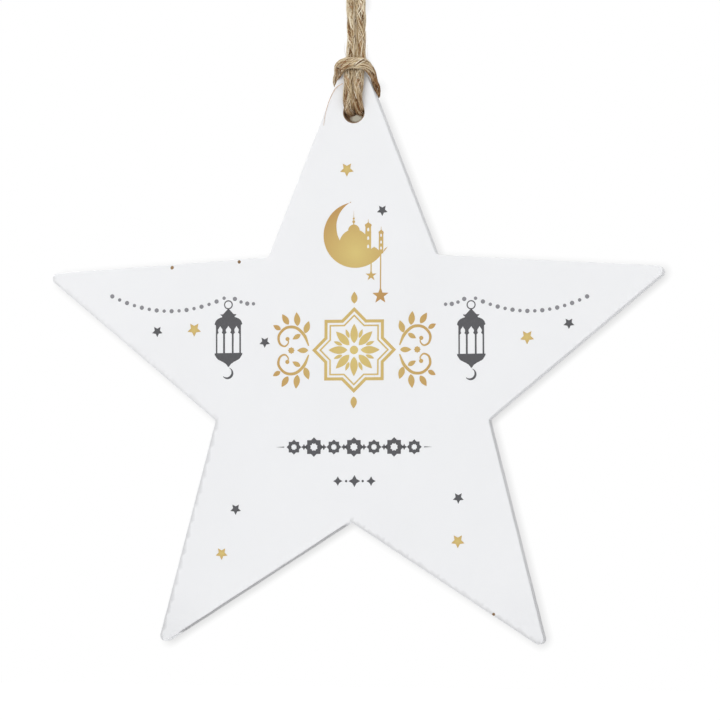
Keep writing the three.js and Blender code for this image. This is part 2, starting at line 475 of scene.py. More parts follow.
def wander(along, length, amount, seed, period):
    """A gentle closed wave along a perimeter, that starts where it ends."""
    random = np.random.default_rng(seed)
    low, high = max(1, int(length / period / 3)), int(length / period) + 2
    turns = random.integers(low, high, WAVE_COUNT)
    phases = random.uniform(0, 2 * math.pi, WAVE_COUNT)
    waves = (np.sin(2 * math.pi * k * along / length + p) for k, p in zip(turns, phases))
    return amount * (sum(waves) / WAVE_COUNT)


def star_outline():
    """The outline's points and the outward normal at each."""
    side_normal = math.pi / 2 - ARM_HALF_ANGLE
    tip_centre = TIP_REACH - TIP_RADIUS / math.sin(ARM_HALF_ANGLE)
    notch_centre = NOTCH_REACH + NOTCH_RADIUS / math.sin(ARM_HALF_ANGLE + ARM_STEP / 2)
    points, normals = [], []

    def add_arc(reach, axis, radius, start, end, steps, outward):
        middle = (reach * math.cos(axis), reach * math.sin(axis))
        direction = unit(np.linspace(start, end, steps + 1))
        points.extend(middle + radius * direction)
        normals.extend(outward * direction)

    def add_side():
        # The straight run from the last point to the next arc's first, filled in afterwards.
        points.append(None)
        normals.append(None)

    for arm in range(ARM_COUNT):
        axis = math.pi / 2 + arm * ARM_STEP
        add_arc(tip_centre, axis, TIP_RADIUS, axis - side_normal, axis + side_normal, 16, 1)
        add_side()
        notch = axis + ARM_STEP / 2
        start = axis + side_normal + math.pi
        end = axis + ARM_STEP - side_normal + math.pi
        add_arc(notch_centre, notch, NOTCH_RADIUS, start, end, 8, -1)
        add_side()
    return with_sides(points, normals)


SIDE_STEP = 1.2


def with_sides(points, normals):
    """Puts evenly spaced points along each straight run."""
    outline, outward = [], []
    for i, (point, normal) in enumerate(zip(points, normals)):
        if point is not None:
            outline.append(point)
            outward.append(normal)
            continue
        start, end = points[i - 1], points[(i + 1) % len(points)]
        count = round(np.linalg.norm(end - start) / SIDE_STEP)
        for step in range(1, count):
            outline.append(start + (end - start) * step / count)
            outward.append(normals[i - 1])
    return np.array(outline), np.array(outward)


# The unevenness of the sawn edge and of its arris: how much, the seed and the waves' length
EDGE_WOBBLE = (0.035, 3, 5)
ARRIS_VARIATION = (0.35, 4, 7)
WAVE_COUNT = 7
ARRIS_STEPS = 4
HOLE_SIDES = 48
# The grids of points inside a face, and the bands that they fill: how far from the edge and the hole
FINE_GRID, COARSE_GRID = 0.8, 5.0
FINE_BAND, COARSE_FROM = (0.3, 3.0), 3.4
FINE_FROM_RIM, COARSE_FROM_HOLE = 0.9, 4
# From the front face round the edge to the back face: how bare the wood is in the hole, and how
# much of a side's painted shade shows there
HOLE_BARENESS = [0.35, 0.6, 0.85, 1, 1, 1, 1, 1, 0.9, 0.5]
WALL_SHADE_PROFILE = [0, 0.2, 0.6, 0.9, 1, 1, 0.9, 0.6, 0.2, 0]
ARRIS_SHADE_PROFILE = [1, 0.7, 0.2, 0, 0, 0, 0, 0.2, 0.7, 1]
# Sides with painted shade on their walls, then sides with a painted shade line along the arris: from one
# polar angle to another, and how much
SHADED_SIDES = [(-18, 18, 0.24), (54, 90, 0.3), (236, 268, 0.9), (306, 342, 0.5)]
SHADE_LINED_SIDES = [(162, 198, 0.20), (198, 234, 0.34), (270, 306, 0.34)]
# The paint is a little darker towards the two lower tips: the tip's angle and how much, and how far from its
# point
DARKER_TIPS = [(234, 0.10), (306, 0.05)]
DARKER_TIP_REACH = 15.0


def edge_rings(outline, outward, wobble, arris):
    """Rings of points and normals from the front face round the edge to the back face."""
    outline = outline + outward * wobble[:, None]
    rings, normals = [], []
    for face in (-1, 1):
        for step in range(ARRIS_STEPS + 1):
            angle = step / ARRIS_STEPS * math.pi / 2
            if face > 0:
                angle = math.pi / 2 - angle
            inset = arris * (1 - math.sin(angle))
            depth = face * (HALF_BOARD - arris * (1 - math.cos(angle)))
            rings.append(at_depth(outline - outward * inset[:, None], depth))
            normals.append(at_depth(outward * math.sin(angle), face * math.cos(angle)))
    return rings, normals


def distance_inward(points, outline):
    """How far each point lies from the outline."""
    following = np.roll(outline, -1, axis=0)
    run = following - outline
    best = np.full(len(points), np.inf)
    for a, d in zip(outline, run):
        t = np.clip(((points - a) @ d) / (d @ d), 0, 1)
        best = np.minimum(best, np.linalg.norm(points - a - t[:, None] * d, axis=1))
    return best


def face_mesh(outline, hole):
    """The front face's points and triangles, fine near its edge and coarse further in."""
    fine = grid_inside([outline], FINE_GRID)
    distance = distance_inward(fine, outline)
    from_rim = np.linalg.norm(fine - HOLE_PLACE, axis=1) - HOLE_DIAMETER / 2
    low, high = FINE_BAND
    band = (distance > low) & (distance < high) & (from_rim > FINE_FROM_RIM)
    coarse = grid_inside([outline], COARSE_GRID)
    from_hole = np.linalg.norm(coarse - HOLE_PLACE, axis=1)
    within = (distance_inward(coarse, outline) > COARSE_FROM) & (from_hole > COARSE_FROM_HOLE)
    return fill([outline], [hole], np.concatenate([fine[band], coarse[within]]))


def paint_marks(points, outline, ring_count):
    """How bare the paint is, and how much painted shade it carries, at each point of the board."""
    of_edge = ring_count * len(outline)
    bore = np.zeros(len(points))
    bore[of_edge:of_edge + ring_count * HOLE_SIDES] = np.repeat(HOLE_BARENESS, HOLE_SIDES)
    polar = np.degrees(np.arctan2(outline[:, 1], outline[:, 0])) % 360
    # Painted shade on the walls and arris lines of the sides that face away from the light, then darker
    # paint towards the two lower tips
    painted_shade = np.zeros(len(points))
    for profile, sides in ((WALL_SHADE_PROFILE, SHADED_SIDES), (ARRIS_SHADE_PROFILE, SHADE_LINED_SIDES)):
        of_side = sum(amount * ((polar - a) % 360 < b - a) for a, b, amount in sides)
        painted_shade[:of_edge] += np.outer(profile, of_side).ravel()
    for angle, amount in DARKER_TIPS:
        way = math.radians(angle)
        place = np.array([TIP_REACH * math.cos(way), TIP_REACH * math.sin(way) + CENTRE_Z])
        away = np.linalg.norm(points[:, [0, 2]] - place, axis=1)
        painted_shade += amount * np.clip(1 - away / DARKER_TIP_REACH, 0, 1)
    return {"bore": bore, "painted_shade": painted_shade}


def painted_board(material):
    """The board with its true rounded edges, a little uneven as sawn and sanded ply is."""
    outline, outward = star_outline()
    lengths = np.linalg.norm(np.roll(outline, -1, axis=0) - outline, axis=1)
    perimeter = lengths.sum()
    along = np.concatenate([[0], np.cumsum(lengths)[:-1]])
    wobble = wander(along, perimeter, *EDGE_WOBBLE)
    arris = ARRIS_RADIUS * (1 + wander(along, perimeter, *ARRIS_VARIATION))
    rings, normals = edge_rings(outline, outward, wobble, arris)

    spokes = unit(np.arange(HOLE_SIDES) * 2 * math.pi / HOLE_SIDES)
    rim = spokes * HOLE_DIAMETER / 2 + HOLE_PLACE
    plain = np.zeros(HOLE_SIDES)
    hole_rings, hole_normals = edge_rings(rim, -spokes, plain, plain + ARRIS_RADIUS)

    ring_count, size = len(rings), len(outline)
    of_edge = ring_count * size
    face_outline = rings[0][:, [0, 2]]
    face_hole = hole_rings[0][:, [0, 2]]
    flat, triangles = face_mesh(face_outline, face_hole)

    # Points: the outline's rings, the hole's rings, then the faces' inner points.
    rim_total = of_edge + ring_count * HOLE_SIDES
    inner = np.ones(len(flat), bool)
    index = np.full(len(flat), -1)
    known = np.concatenate([face_outline, face_hole])
    where = np.concatenate([np.arange(size), of_edge + np.arange(HOLE_SIDES)])
    for number, place in zip(where, known):
        at = int(np.argmin(((flat - place) ** 2).sum(axis=1)))
        index[at] = number
        inner[at] = False
    index[inner] = rim_total + np.arange(inner.sum())
    front = at_depth(flat[inner], -HALF_BOARD)
    points = np.concatenate([*rings, *hole_rings, front, front * [1, -1, 1]])
    facing = np.zeros_like(front) + [0, -1, 0]
    normal = np.concatenate([*normals, *hole_normals, facing, -facing])

    back_index = index.copy()
    outer = ~inner & (index < of_edge)
    back_index[outer] += (ring_count - 1) * size
    back_index[~inner & ~outer] += (ring_count - 1) * HOLE_SIDES
    back_index[inner] += len(front)
    faces = index[triangles].tolist() + back_index[triangles][:, ::-1].tolist()
    for base, count, step in ((0, size, 1), (of_edge, HOLE_SIDES, -1)):
        for ring in range(ring_count - 1):
            for i in range(count):
                j = (i + 1) % count
                quad = [i, j, j + count, i + count]
                faces.append([base + ring * count + q for q in quad][::-step])
    points[:, 2] += CENTRE_Z

    marks = paint_marks(points, outline, ring_count)
    piece = mesh_object("painted_board", points, faces, material, marks, normal)
    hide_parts("star_board")
    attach(piece, "star")


# The print, in board millimetres

STAR_INNER = 0.5
GOLD_STARS = [
    (-1.15, 41.20, 1.46), (-32.55, 9.31, 1.46), (35.62, 7.18, 1.46),
    (-26.43, -35.84, 1.28), (21.85, -33.18, 1.40),
]
DARK_STARS = [
    (6.17, 32.84, 1.14), (-40.28, 8.97, 1.14), (-17.85, 6.61, 1.14), (43.97, 9.82, 1.14),
    (-23.60, -26.94, 1.14), (21.91, -24.65, 1.14),
]
LANTERNS = [(-25.46, 14.23), (24.32, 13.71)]
UP, DOWN = math.pi / 2, -math.pi / 2
PRINT_STEP = 0.06


def small_stars(places):
    return [([points_star(x, z, r, STAR_INNER * r, 5, DOWN)], []) for x, z, r in places]


def smooth_edge(points):
    """A smooth open line through the points, on the same curve as the twine's."""
    return smooth_line(np.array([(x, z, 0.0) for x, z in points]), PRINT_STEP)[:, :2]


CRESCENT_CENTRE = (0.74, 27.97)
CRESCENT_RADIUS = 6.60
CRESCENT_HORNS = [(-0.22, 34.72), (7.28, 25.50)]
CRESCENT_INSIDE = [
    (-0.22, 34.72), (-1.62, 33.62), (-2.68, 32.15), (-3.20, 30.40), (-3.17, 28.95), (-2.95, 27.90),
    (-2.51, 26.88),
]
CRESCENT_GROUND = [
    (3.3, 25.3), (3.98, 25.15), (4.22, 25.36), (4.42, 25.42), (4.52, 25.60), (4.64, 25.42),
    (4.95, 25.33), (5.30, 25.02), (5.5, 24.80), (6.3, 24.45), (6.62, 24.62), (6.95, 25.05),
]
DOME = (0.40, 26.08, 3.04)
DOME_CAP = (0.37, 28.90, 1.17)
FINIAL_BULBS = [(0.33, 30.64, 0.29), (0.33, 31.29, 0.21)]
TOWERS = [(3.31, 30.55, 0.60, 24.6), (5.95, 29.05, 0.46, 24.2)]
# The towers' windows: each tower's middle, its windows' heights, and their half width and height
TOWER_WINDOWS = [
    (3.31, (29.07, 27.36, 25.69), 0.21, 0.78),
    (5.95, (27.88, 26.52, 25.32), 0.17, 0.66),
]
THREADS = [(3.94, 22.6, 20.5), (5.88, 24.0, 17.2)]
HANGING_STARS = [(3.94, 19.81, 1.20, 0.38), (5.88, 15.75, 1.73, 0.42)]


def pointed_tower(x, top, half, foot):
    """A slim tower with a pointed roof over a slightly wider balcony."""
    right = [
        (0.0, 0.0), (0.35, -0.22), (0.78, -0.38), (1.10, -0.50), (1.14, -0.72), (0.96, -1.0),
        (0.96, -1.5), (1.0, -2.0),
    ]
    side = [(half * w, top + d) for w, d in right] + [(half, foot)]
    return np.array([(x + w, z) for w, z in side] + [(x - w, z) for w, z in side[:0:-1]])


def pointed_window(x, z, half, tall):
    right = [(half, -tall / 2), (half, 0.08), (0.6 * half, 0.3 * tall), (0, tall / 2)]
    return np.array(right + [(-w, d) for w, d in right[-2::-1]]) + [x, z]


def upright(x, low, high, foot, head):
    """A slim bar from low to high, with its half widths at the foot and the head."""
    return np.array([(x - foot, low), (x + foot, low), (x + head, high), (x - head, high)])


def crescent_print():
    """A crescent moon that holds a domed skyline and two stars on threads."""
    centre_x, centre_z = CRESCENT_CENTRE
    outer = arc(centre_x, centre_z, CRESCENT_RADIUS, math.radians(335), math.radians(99), 72)
    inner = smooth_edge(CRESCENT_INSIDE)
    # The sky's lower edge: over the dome to the towers, the mound and the lower horn.
    dome_x, dome_z, dome_r = DOME
    dome = arc(dome_x, dome_z, dome_r, math.radians(163), math.radians(36), 30)
    horn, lower_horn = CRESCENT_HORNS
    body = np.concatenate([outer, [horn], inner[1:], dome, CRESCENT_GROUND, [lower_horn]])
    cap_x, cap_z, cap_r = DOME_CAP
    cap_foot = [(cap_x + way * 1.02 * cap_r, 28.2) for way in (-1, 1)]
    cap = np.concatenate([cap_foot, arc(cap_x, cap_z, cap_r, 0, math.pi, 20)])
    spike = np.array([(0.22, 29.9), (0.44, 29.9), (0.38, 31.4), (0.33, 32.95), (0.28, 31.4)])
    bulbs = [disc(x, z, r, 16) for x, z, r in FINIAL_BULBS]
    towers = [pointed_tower(*tower) for tower in TOWERS]
    tips = [upright(x, top - 0.1, top + 0.55, 0.05, 0.03) for x, top, _, _ in TOWERS]
    threads = [upright(x, low, high, 0.12, 0.12) for x, high, low in THREADS]
    stars = [points_star(x, z, r, share * r, 5, UP) for x, z, r, share in HANGING_STARS]
    windows = [
        pointed_window(x, z, half, tall)
        for x, heights, half, tall in TOWER_WINDOWS for z in heights
    ]
    return [([body, cap, spike, *bulbs, *towers, *tips, *threads, *stars], windows)]


LANTERN_RING = (0.915, 0.69)
LANTERN_SIDE = [
    (0.0, -0.74), (1.07, -1.88), (1.30, -1.93), (1.62, -1.90), (1.66, -2.0), (1.50, -2.16),
    (1.27, -2.30), (1.34, -2.50), (1.75, -2.62), (2.21, -2.83), (2.55, -3.15), (2.71, -3.40),
    (2.87, -3.88), (2.80, -4.02), (2.66, -4.06), (2.60, -4.2), (2.60, -9.76), (2.90, -9.80),
    (2.84, -10.1), (2.63, -10.43), (2.40, -10.8), (2.10, -11.07), (1.80, -11.2), (1.46, -11.4),
    (1.15, -11.52), (0.80, -11.78), (0.58, -11.88), (0.35, -12.16), (0.10, -12.52),
]
LANTERN_WINDOW = [
    (1.0, -9.74), (1.0, -5.98), (0.86, -5.80), (0.60, -5.68), (0.55, -5.58), (0.72, -5.38),
    (0.78, -5.12), (0.68, -4.88), (0.45, -4.70), (0.22, -4.50), (0.0, -4.24),
]
WINDOW_PLACES = [(-1.70, 0.61), (0.0, 0.72), (1.68, 0.60)]
PRINT_TURN = math.radians(0.5)
HOOK_OUTSIDE = (-0.15, -13.84, 1.17)
HOOK_INSIDE = (-0.40, -13.62, 1.03)


def lantern_print(x, z):
    """A pierced lantern that hangs by a ring, with a small crescent under it."""
    side = np.array(LANTERN_SIDE)
    body = np.concatenate([side, mirrored(side[1:])[::-1]])
    windows = []
    for middle, half in WINDOW_PLACES:
        edge = np.array(LANTERN_WINDOW) * [half, 1]
        windows.append(np.concatenate([edge, mirrored(edge[:-1])[::-1]]) + [middle, 0])
    outer, inner = LANTERN_RING
    ring = ([disc(x, z, outer, 32)], [disc(x, z, inner, 32)])
    out_x, out_z, out_r = HOOK_OUTSIDE
    in_x, in_z, in_r = HOOK_INSIDE
    hook_out = arc(out_x, out_z, out_r, math.radians(78), math.radians(-143), 30)
    hook_in = arc(in_x, in_z, in_r, math.radians(-133), math.radians(62), 30)
    hook = np.concatenate([[(-0.02, -12.5)], hook_out, hook_in])
    solids = [turned(shape, PRINT_TURN, x, z) for shape in (body, hook)]
    cutouts = [turned(shape, PRINT_TURN, x, z) for shape in windows]
    return [(solids, cutouts), ring]


BEAD_SIZES = (0.44, 0.35)
GARLANDS = [
    ((-49.84, 16.21), (-38.07, 13.07), (-26.37, 15.58), 16),
    ((-20.25, 14.38), (-22.20, 14.57), (-24.12, 15.41), 4),
    ((47.58, 15.10), (36.50, 12.35), (25.21, 14.99), 16),
    ((19.16, 13.87), (21.05, 14.06), (22.92, 14.88), 4),
]


def garland_print():
    """Beads strung in curves between the side arms and the lanterns' rings."""
    beads = []
    for first, middle, last, count in GARLANDS:
        (x0, z0), (x1, z1), (x2, z2) = first, middle, last
        curve = np.polyfit([x0, x1, x2], [z0, z1, z2], 2)
        for i, x in enumerate(np.linspace(x0, x2, count)):
            from_ring = count - 1 - i
            size = BEAD_SIZES[(from_ring + (count > 4)) % 2]
            beads.append(([disc(x, np.polyval(curve, x), size, 18)], []))
    return beads


EMBLEM = (0.55, 4.9)
EMBLEM_REACH = 8.6
# The outsides and insides of its two lines, as shares of its reach
EMBLEM_LINES = [(1.0, 0.90), (0.83, 0.78)]
# Its petals: length, width, where they start and how far they are turned, in eighths
EMBLEM_PETALS = [(3.9, 1.55, 1.35, 0), (1.9, 0.7, 2.6, 0.5)]
EMBLEM_SEED = 0.85
STEM_WIDTHS = ([0, 0.15, 0.7, 1], [0.25, 0.62, 0.5, 0.2])
TWO_SQUARES = math.cos(math.pi / 4) / math.cos(math.pi / 8)


def leaf(length, width, steps=10):
    """A pointed leaf from the origin along x."""
    t = np.linspace(0, 1, steps + 1)
    half = width / 2 * np.sin(math.pi * t**0.85) ** 0.9
    edge = np.stack([t * length, half], axis=1)
    return np.concatenate([edge, (edge * [1, -1])[-2:0:-1]])


def eight_star(x, z, reach, first_angle=0.0):
    return points_star(x, z, reach, TWO_SQUARES * reach, 8, first_angle)


SCROLL_STEM = [
    (9.3, 0.9), (10.3, 3.1), (12.1, 4.6), (14.1, 4.5), (15.5, 2.9), (15.2, 1.3), (14.2, 0.85),
    (13.5, 1.6), (13.7, 2.3),
]
SCROLL_LEAVES = [
    (10.1, 3.4, 108, 2.6, 1.25), (11.6, 4.9, 84, 2.8, 1.3), (13.5, 5.2, 58, 2.5, 1.2),
    (15.1, 4.2, 30, 1.8, 0.95), (11.0, 3.2, -30, 1.9, 0.95),
]


def emblem_print():
    """A star of two squares with petals, between four leafy scrolls."""
    x, z = EMBLEM
    groups = [
        ([eight_star(x, z, outside * EMBLEM_REACH)], [eight_star(x, z, within * EMBLEM_REACH)])
        for outside, within in EMBLEM_LINES
    ]
    for length, width, start, turn in EMBLEM_PETALS:
        petal = leaf(length, width) + [start, 0]
        groups += [([turned(petal, (k + turn) * math.pi / 4, x, z)], []) for k in range(8)]
    groups.append(([disc(x, z, EMBLEM_SEED)], []))
    stem = smooth_edge(SCROLL_STEM)
    widths = np.interp(np.linspace(0, 1, len(stem)), *STEM_WIDTHS)
    bud = disc(*SCROLL_STEM[-1], 0.42, 16)
    shapes = [stroke(stem, widths), bud]
    for leaf_x, leaf_z, angle, length, width in SCROLL_LEAVES:
        shapes.append(turned(leaf(length, width), math.radians(angle), leaf_x, leaf_z))
    for flip_x in (1, -1):
        for flip_z in (1, -1):
            flipped = [shape * [flip_x, flip_z] + [x, z] for shape in shapes]
            groups.append((flipped, []))
        groups.append(([turned(leaf(2.3, 1.1), 0 if flip_x > 0 else math.pi, x + flip_x * 9.4, z)], []))
        groups.append(([eight_star(x + flip_x * 12.9, z, 0.7)], []))
    for flip_z in (1, -1):
        groups.append(([turned(leaf(2.4, 1.3), flip_z * UP, x, z + flip_z * 9.3)], []))
    return groups


BAND = (0.65, -14.5)
BAND_STEP = 4.1
BAND_REACHES = (1.95, 1.5)
BAND_LINE = (14.3, 16.0)
DIAMOND = (0.62, 0.30)
ROW = (0.8, -21.3)
ROW_STEP = 3.4
ROW_DOT = 0.24


def band_print():
    """A band of small eight-pointed stars and diamonds, with a fine line at each end."""
    x, z = BAND
    groups = []
    for k in range(-3, 4):
        at = x + k * BAND_STEP
        reach = BAND_REACHES[k % 2]
        groups.append(([eight_star(at, z, reach)], [eight_star(at, z, 0.42 * reach, math.pi / 8)]))
    shapes = [
        points_star(x + (k + 0.5) * BAND_STEP, z, *DIAMOND, 4, 0) for k in range(-3, 3)
    ]
    for side in (-1, 1):
        near, far = (x + side * reach for reach in BAND_LINE)
        shapes.append(np.array([(near, z - 0.1), (near, z + 0.1), (far, z)]))
    x, z = ROW
    for k, reach in ((-1, 0.95), (0, 1.2), (1, 0.95)):
        shapes.append(points_star(x + ROW_STEP * k, z, reach, 0.5 * reach, 4, 0))
    shapes += [disc(x + way * ROW_STEP / 2, z, ROW_DOT, 12) for way in (-1, 1)]
    return groups + [([shape], []) for shape in shapes]


def printed_motifs():
    """All the ink on the front."""
    gold = gold_ink()
    dark = plain_ink("dark_ink", INK_DARK)
    grey = plain_ink("grey_ink", INK_GREY)

    def from_centre(x0, z0, reach):
        return lambda x, z: np.clip(1 - np.hypot(x - x0, z - z0) / reach, 0, 1)

    def star_glow(x, z):
        nearest = np.min([np.hypot(x - a, z - b) / r for a, b, r in GOLD_STARS], axis=0)
        return np.clip(0.95 - 0.6 * nearest, 0, 1)

    ink_film("gold_crescent", crescent_print(), gold, from_centre(0.8, 24.4, 10.5))
    ink_film("gold_stars", small_stars(GOLD_STARS), gold, star_glow)
    ink_film("gold_emblem", emblem_print(), gold, from_centre(*EMBLEM, 21))
    ink_film("dark_stars", small_stars(DARK_STARS), dark)
    ink_film("dark_band", band_print(), dark)
    for place, word in zip(LANTERNS, ("left", "right")):
        ink_film(f"lantern_{word}", lantern_print(*place), dark)
    ink_film("grey_beads", garland_print(), grey)


# The twine's route, point by point: x, y, z, how far it is squashed thin and spread wide, and how
# much shade is painted on its fibres there, or how much light is painted where that is negative


def arm_edge(height):
    """How far out the top arm's side lies at a height from its sharp point."""
    return -height * math.tan(ARM_HALF_ANGLE)


def hitch_route():
    """From the left strand's bend through the hole, round the arm and back. Heights from the tip."""
    in_hole = -HOLE_FROM_TIP + 0.2

    # The last column is painted shade: on the strands going into the hole and where the twine wraps round
    # the arm's sides; where negative, painted light on the front of the collar
    def strand(side):
        s, f = side * STRAND_OFFSET, side * FRONT_OFFSET
        return [
            [0.1 + s, 0, BEND_HEIGHT, 1, 1, 0],
            [0.15 + s, -0.05, BEND_HEIGHT - 1.7, 1, 1, 0],
            [0.4 + s, -0.85, 5.2, 1, 1, 0],
            [0.65 + s, -1.8, 2.4, 0.97, 1, 0],
            [0.85 + s, -2.35, -0.3, 0.92, 1, 0],
            [0.85 + f, -2.4, -2.8, 0.86, 1.06, 0],
            [0.55 + f, -2.36, -5.6, 0.84, 1.08, 0.1],
            [0.30 + f, -2.36, -8.6, 0.86, 1.08, 0.12],
            [0.22 + f, -2.4, in_hole + 3.1, 0.86, 1.06, 0.3],
            [0.22 + 1.04 * f, -2.1, in_hole + 1.35, 0.84, 1.03, 0.6],
            [0.22 + 1.08 * f, -1.3, in_hole + 0.35, 0.84, 0.98, 0.8],
            [0.22 + 1.08 * f, 0, in_hole, 0.86, 0.98, 0.9],
            [0.22 + 1.06 * f, 1.3, in_hole + 0.35, 0.84, 0.96, 0.6],
            [0.18 + f + side * 0.05, 2.1, in_hole + 1.35, 0.84, 1, 0.2],
        ]

    back_left = [
        [-1.25, 2.45, -11.85, 0.86, 1, 0],
        [-2.55, 2.45, -10.5, 0.84, 1.05, 0],
        [-3.45, 2.0, -9.4, 0.74, 1.06, 0.1],
        [-arm_edge(-8.6) - 0.56, 0.6, -8.6, 0.62, 1.06, 0.6],
        [-arm_edge(-7.85) - 0.54, -0.8, -7.85, 0.60, 1.06, 0.7],
        [-3.1, -1.85, -7.15, 0.62, 1.08, 0.6],
        [-2.83, -2.3, -6.65, 0.68, 1.1, 0.4],
    ]
    front = [
        [-2.48, -2.95, -6.17, 0.74, 1.15, 0.1],
        [-1.92, -3.6, -5.82, 0.78, 1.22, -0.4],
        [-1.2, -3.9, -5.55, 0.79, 1.25, -0.5],
        [0.0, -4.0, -5.38, 0.79, 1.25, -0.5],
        [1.0, -4.0, -5.33, 0.79, 1.22, -0.45],
        [2.0, -3.95, -5.40, 0.79, 1.18, -0.2],
        [2.84, -3.72, -5.68, 0.76, 1.08, 0.4],
        [3.60, -3.12, -6.3, 0.72, 0.98, 0.8],
        [4.02, -2.4, -7.15, 0.66, 0.90, 1.0],
    ]
    back_right = [
        [4.24, -1.5, -8.1, 0.63, 0.88, 1.1],
        [4.38, -0.5, -9.0, 0.62, 0.88, 1.15],
        [4.44, 0.6, -9.85, 0.63, 0.92, 1.1],
        [4.28, 1.6, -10.55, 0.74, 1.0, 0.6],
        [3.75, 2.3, -11.1, 0.82, 1.03, 0.3],
        [2.9, 2.45, -11.5, 0.84, 1, 0],
        [1.75, 2.45, -12.0, 0.86, 1, 0],
    ]
    route = strand(-1) + back_left + front + back_right + strand(1)[::-1]
    return np.array(route) + [0, 0, TIP_Z, 0, 0, 0]


def unpressed(points):
    """Route points of twine that nothing squashes, with no painted shade or light."""
    points = np.asarray(points, float)
    return np.column_stack([points, np.tile([1, 1, 0], (len(points), 1))])


def straight_route(side):
    """The free strands between the loop and the hitch, from the top down."""
    s = side * STRAND_OFFSET
    heights = [SWAY_HEIGHT, SWAY_HEIGHT - 4, TURN_HEIGHT + 4, TURN_HEIGHT - 4, BEND_HEIGHT + 4]
    lean = np.interp(heights, [BEND_HEIGHT, TURN_HEIGHT], [0.1, 0])
    return unpressed([[s + a, 0, TIP_Z + h] for h, a in zip(heights, lean)])


def loop_route(side):
    """One side of the hanging loop, from the knot down. Heights from the nail."""
    return unpressed([
        [side * 2.0, 0, 1.2],
        [side * 2.95, 0, -0.6],
        [side * 3.25, 0, -2.8],
        [side * 2.75, 0, -5.2],
        [side * 1.75, 0, -7.8],
        [side * (STRAND_OFFSET + 0.05), 0, -10.2],
    ])


def knot_route():
    """The middle of the pressed pair through the overhand knot, from the loop up."""
    angles = KNOT_OPENING + np.linspace(0, 1, 25) * 2 * (math.pi - KNOT_OPENING)
    reach = KNOT_RADIUS + KNOT_TURN_RADIUS * np.cos(3 * angles)
    turns = np.stack([
        reach * np.cos(2 * angles), reach * np.sin(2 * angles), KNOT_TURN_RADIUS * np.sin(3 * angles),
    ], axis=1)
    entry = [[0, 0, -4.0], [0.55, 0.05, -3.2], [2.4, 0.45, -2.9], [4.0, 1.1, -1.6]]
    leaving = [[4.15, -1.05, 0.8], [3.7, -1.0, 2.8], [2.0, -0.6, 4.2], [0.4, -0.2, 4.9]]
    return np.concatenate([entry, turns, leaving]) + [0, 0, KNOT_CENTRE]


def tail_route(side):
    return np.array([
        [side * 0.8 + 0.1, -0.2, 5.4],
        [side * 2.0, -0.1, 7.02],
        [side * 2.7, 0, 9 + side * 0.6],
    ]) + [0, 0, KNOT_CENTRE]


# Curves


def smooth_line(points, step):
    """Evenly spaced points on the centripetal Catmull-Rom curve through the given ones."""
    padded = np.concatenate([[2 * points[0] - points[1]], points, [2 * points[-1] - points[-2]]])
    pieces = []
    for p0, p1, p2, p3 in zip(padded, padded[1:], padded[2:], padded[3:]):
        d0, d1, d2 = (np.linalg.norm(b - a) ** 0.5 for a, b in ((p0, p1), (p1, p2), (p2, p3)))
        m1 = ((p1 - p0) / d0 - (p2 - p0) / (d0 + d1) + (p2 - p1) / d1) * d1
        m2 = ((p2 - p1) / d1 - (p3 - p1) / (d1 + d2) + (p3 - p2) / d2) * d1
        t = np.linspace(0, 1, 16, endpoint=False)[:, None]
        cubic = 2 * p1 - 2 * p2 + m1 + m2
        square = -3 * p1 + 3 * p2 - 2 * m1 - m2
        pieces.append(cubic * t**3 + square * t**2 + m1 * t + p1)
    dense = np.concatenate([*pieces, [points[-1]]])
    return evenly(dense, step)


def evenly(line, step):
    lengths = np.concatenate([[0], np.cumsum(np.linalg.norm(np.diff(line[:, :3], axis=0), axis=1))])
    at = np.linspace(0, lengths[-1], max(2, round(lengths[-1] / step) + 1))
    return np.stack([np.interp(at, lengths, column) for column in line.T], axis=1)


def carried_frames(line, first_normal):
    """The tangent and two cross directions at each point, carried along without twist."""
    tangents = np.gradient(line, axis=0)
    tangents /= np.linalg.norm(tangents, axis=1)[:, None]
    normal = np.array(first_normal, float)
    normals = []
    for tangent in tangents:
        normal = normal - (normal @ tangent) * tangent
        normal /= np.linalg.norm(normal)
        normals.append(normal)
    normals = np.array(normals)
    return tangents, normals, np.cross(tangents, normals)


PAIR_OFFSET = 0.52


def knotted_strand(side):
    """One strand of the pair through the knot to its tail, its partner being beside it."""
    middle = smooth_line(knot_route(), 0.4)
    _, normals, binormals = carried_frames(middle, (1, 0, 0))
    last = math.atan2(binormals[-1][0], normals[-1][0])
    angle = np.linspace(0, last, len(middle))[:, None]
    offset = normals * np.cos(angle) + binormals * np.sin(angle)
    strand = (middle + side * PAIR_OFFSET * offset)[2:-2:4]
    return unpressed(np.concatenate([strand, tail_route(side)]))


def whole_route():
    """The one length of twine, from the left tail to the right tail, as points."""
    half = {}
    for side in (-1, 1):
        half[side] = np.concatenate([
            knotted_strand(side)[::-1], loop_route(side), straight_route(side),
        ])
    return np.concatenate([half[-1], hitch_route(), half[1][::-1]])


# The twine's mesh


def smooth_noise(random, along, shape, shortest, longest):
    """Independent gentle waves along the twine, about -1 to 1, one for each entry of the shape."""
    total = np.zeros((len(along), *shape))
    for _ in range(4):
        period = random.uniform(shortest, longest, shape)
        phase = random.uniform(0, 2 * math.pi, shape)
        total += np.sin(2 * math.pi * along.reshape(-1, *[1] * len(shape)) / period + phase)
    return total / 2.4


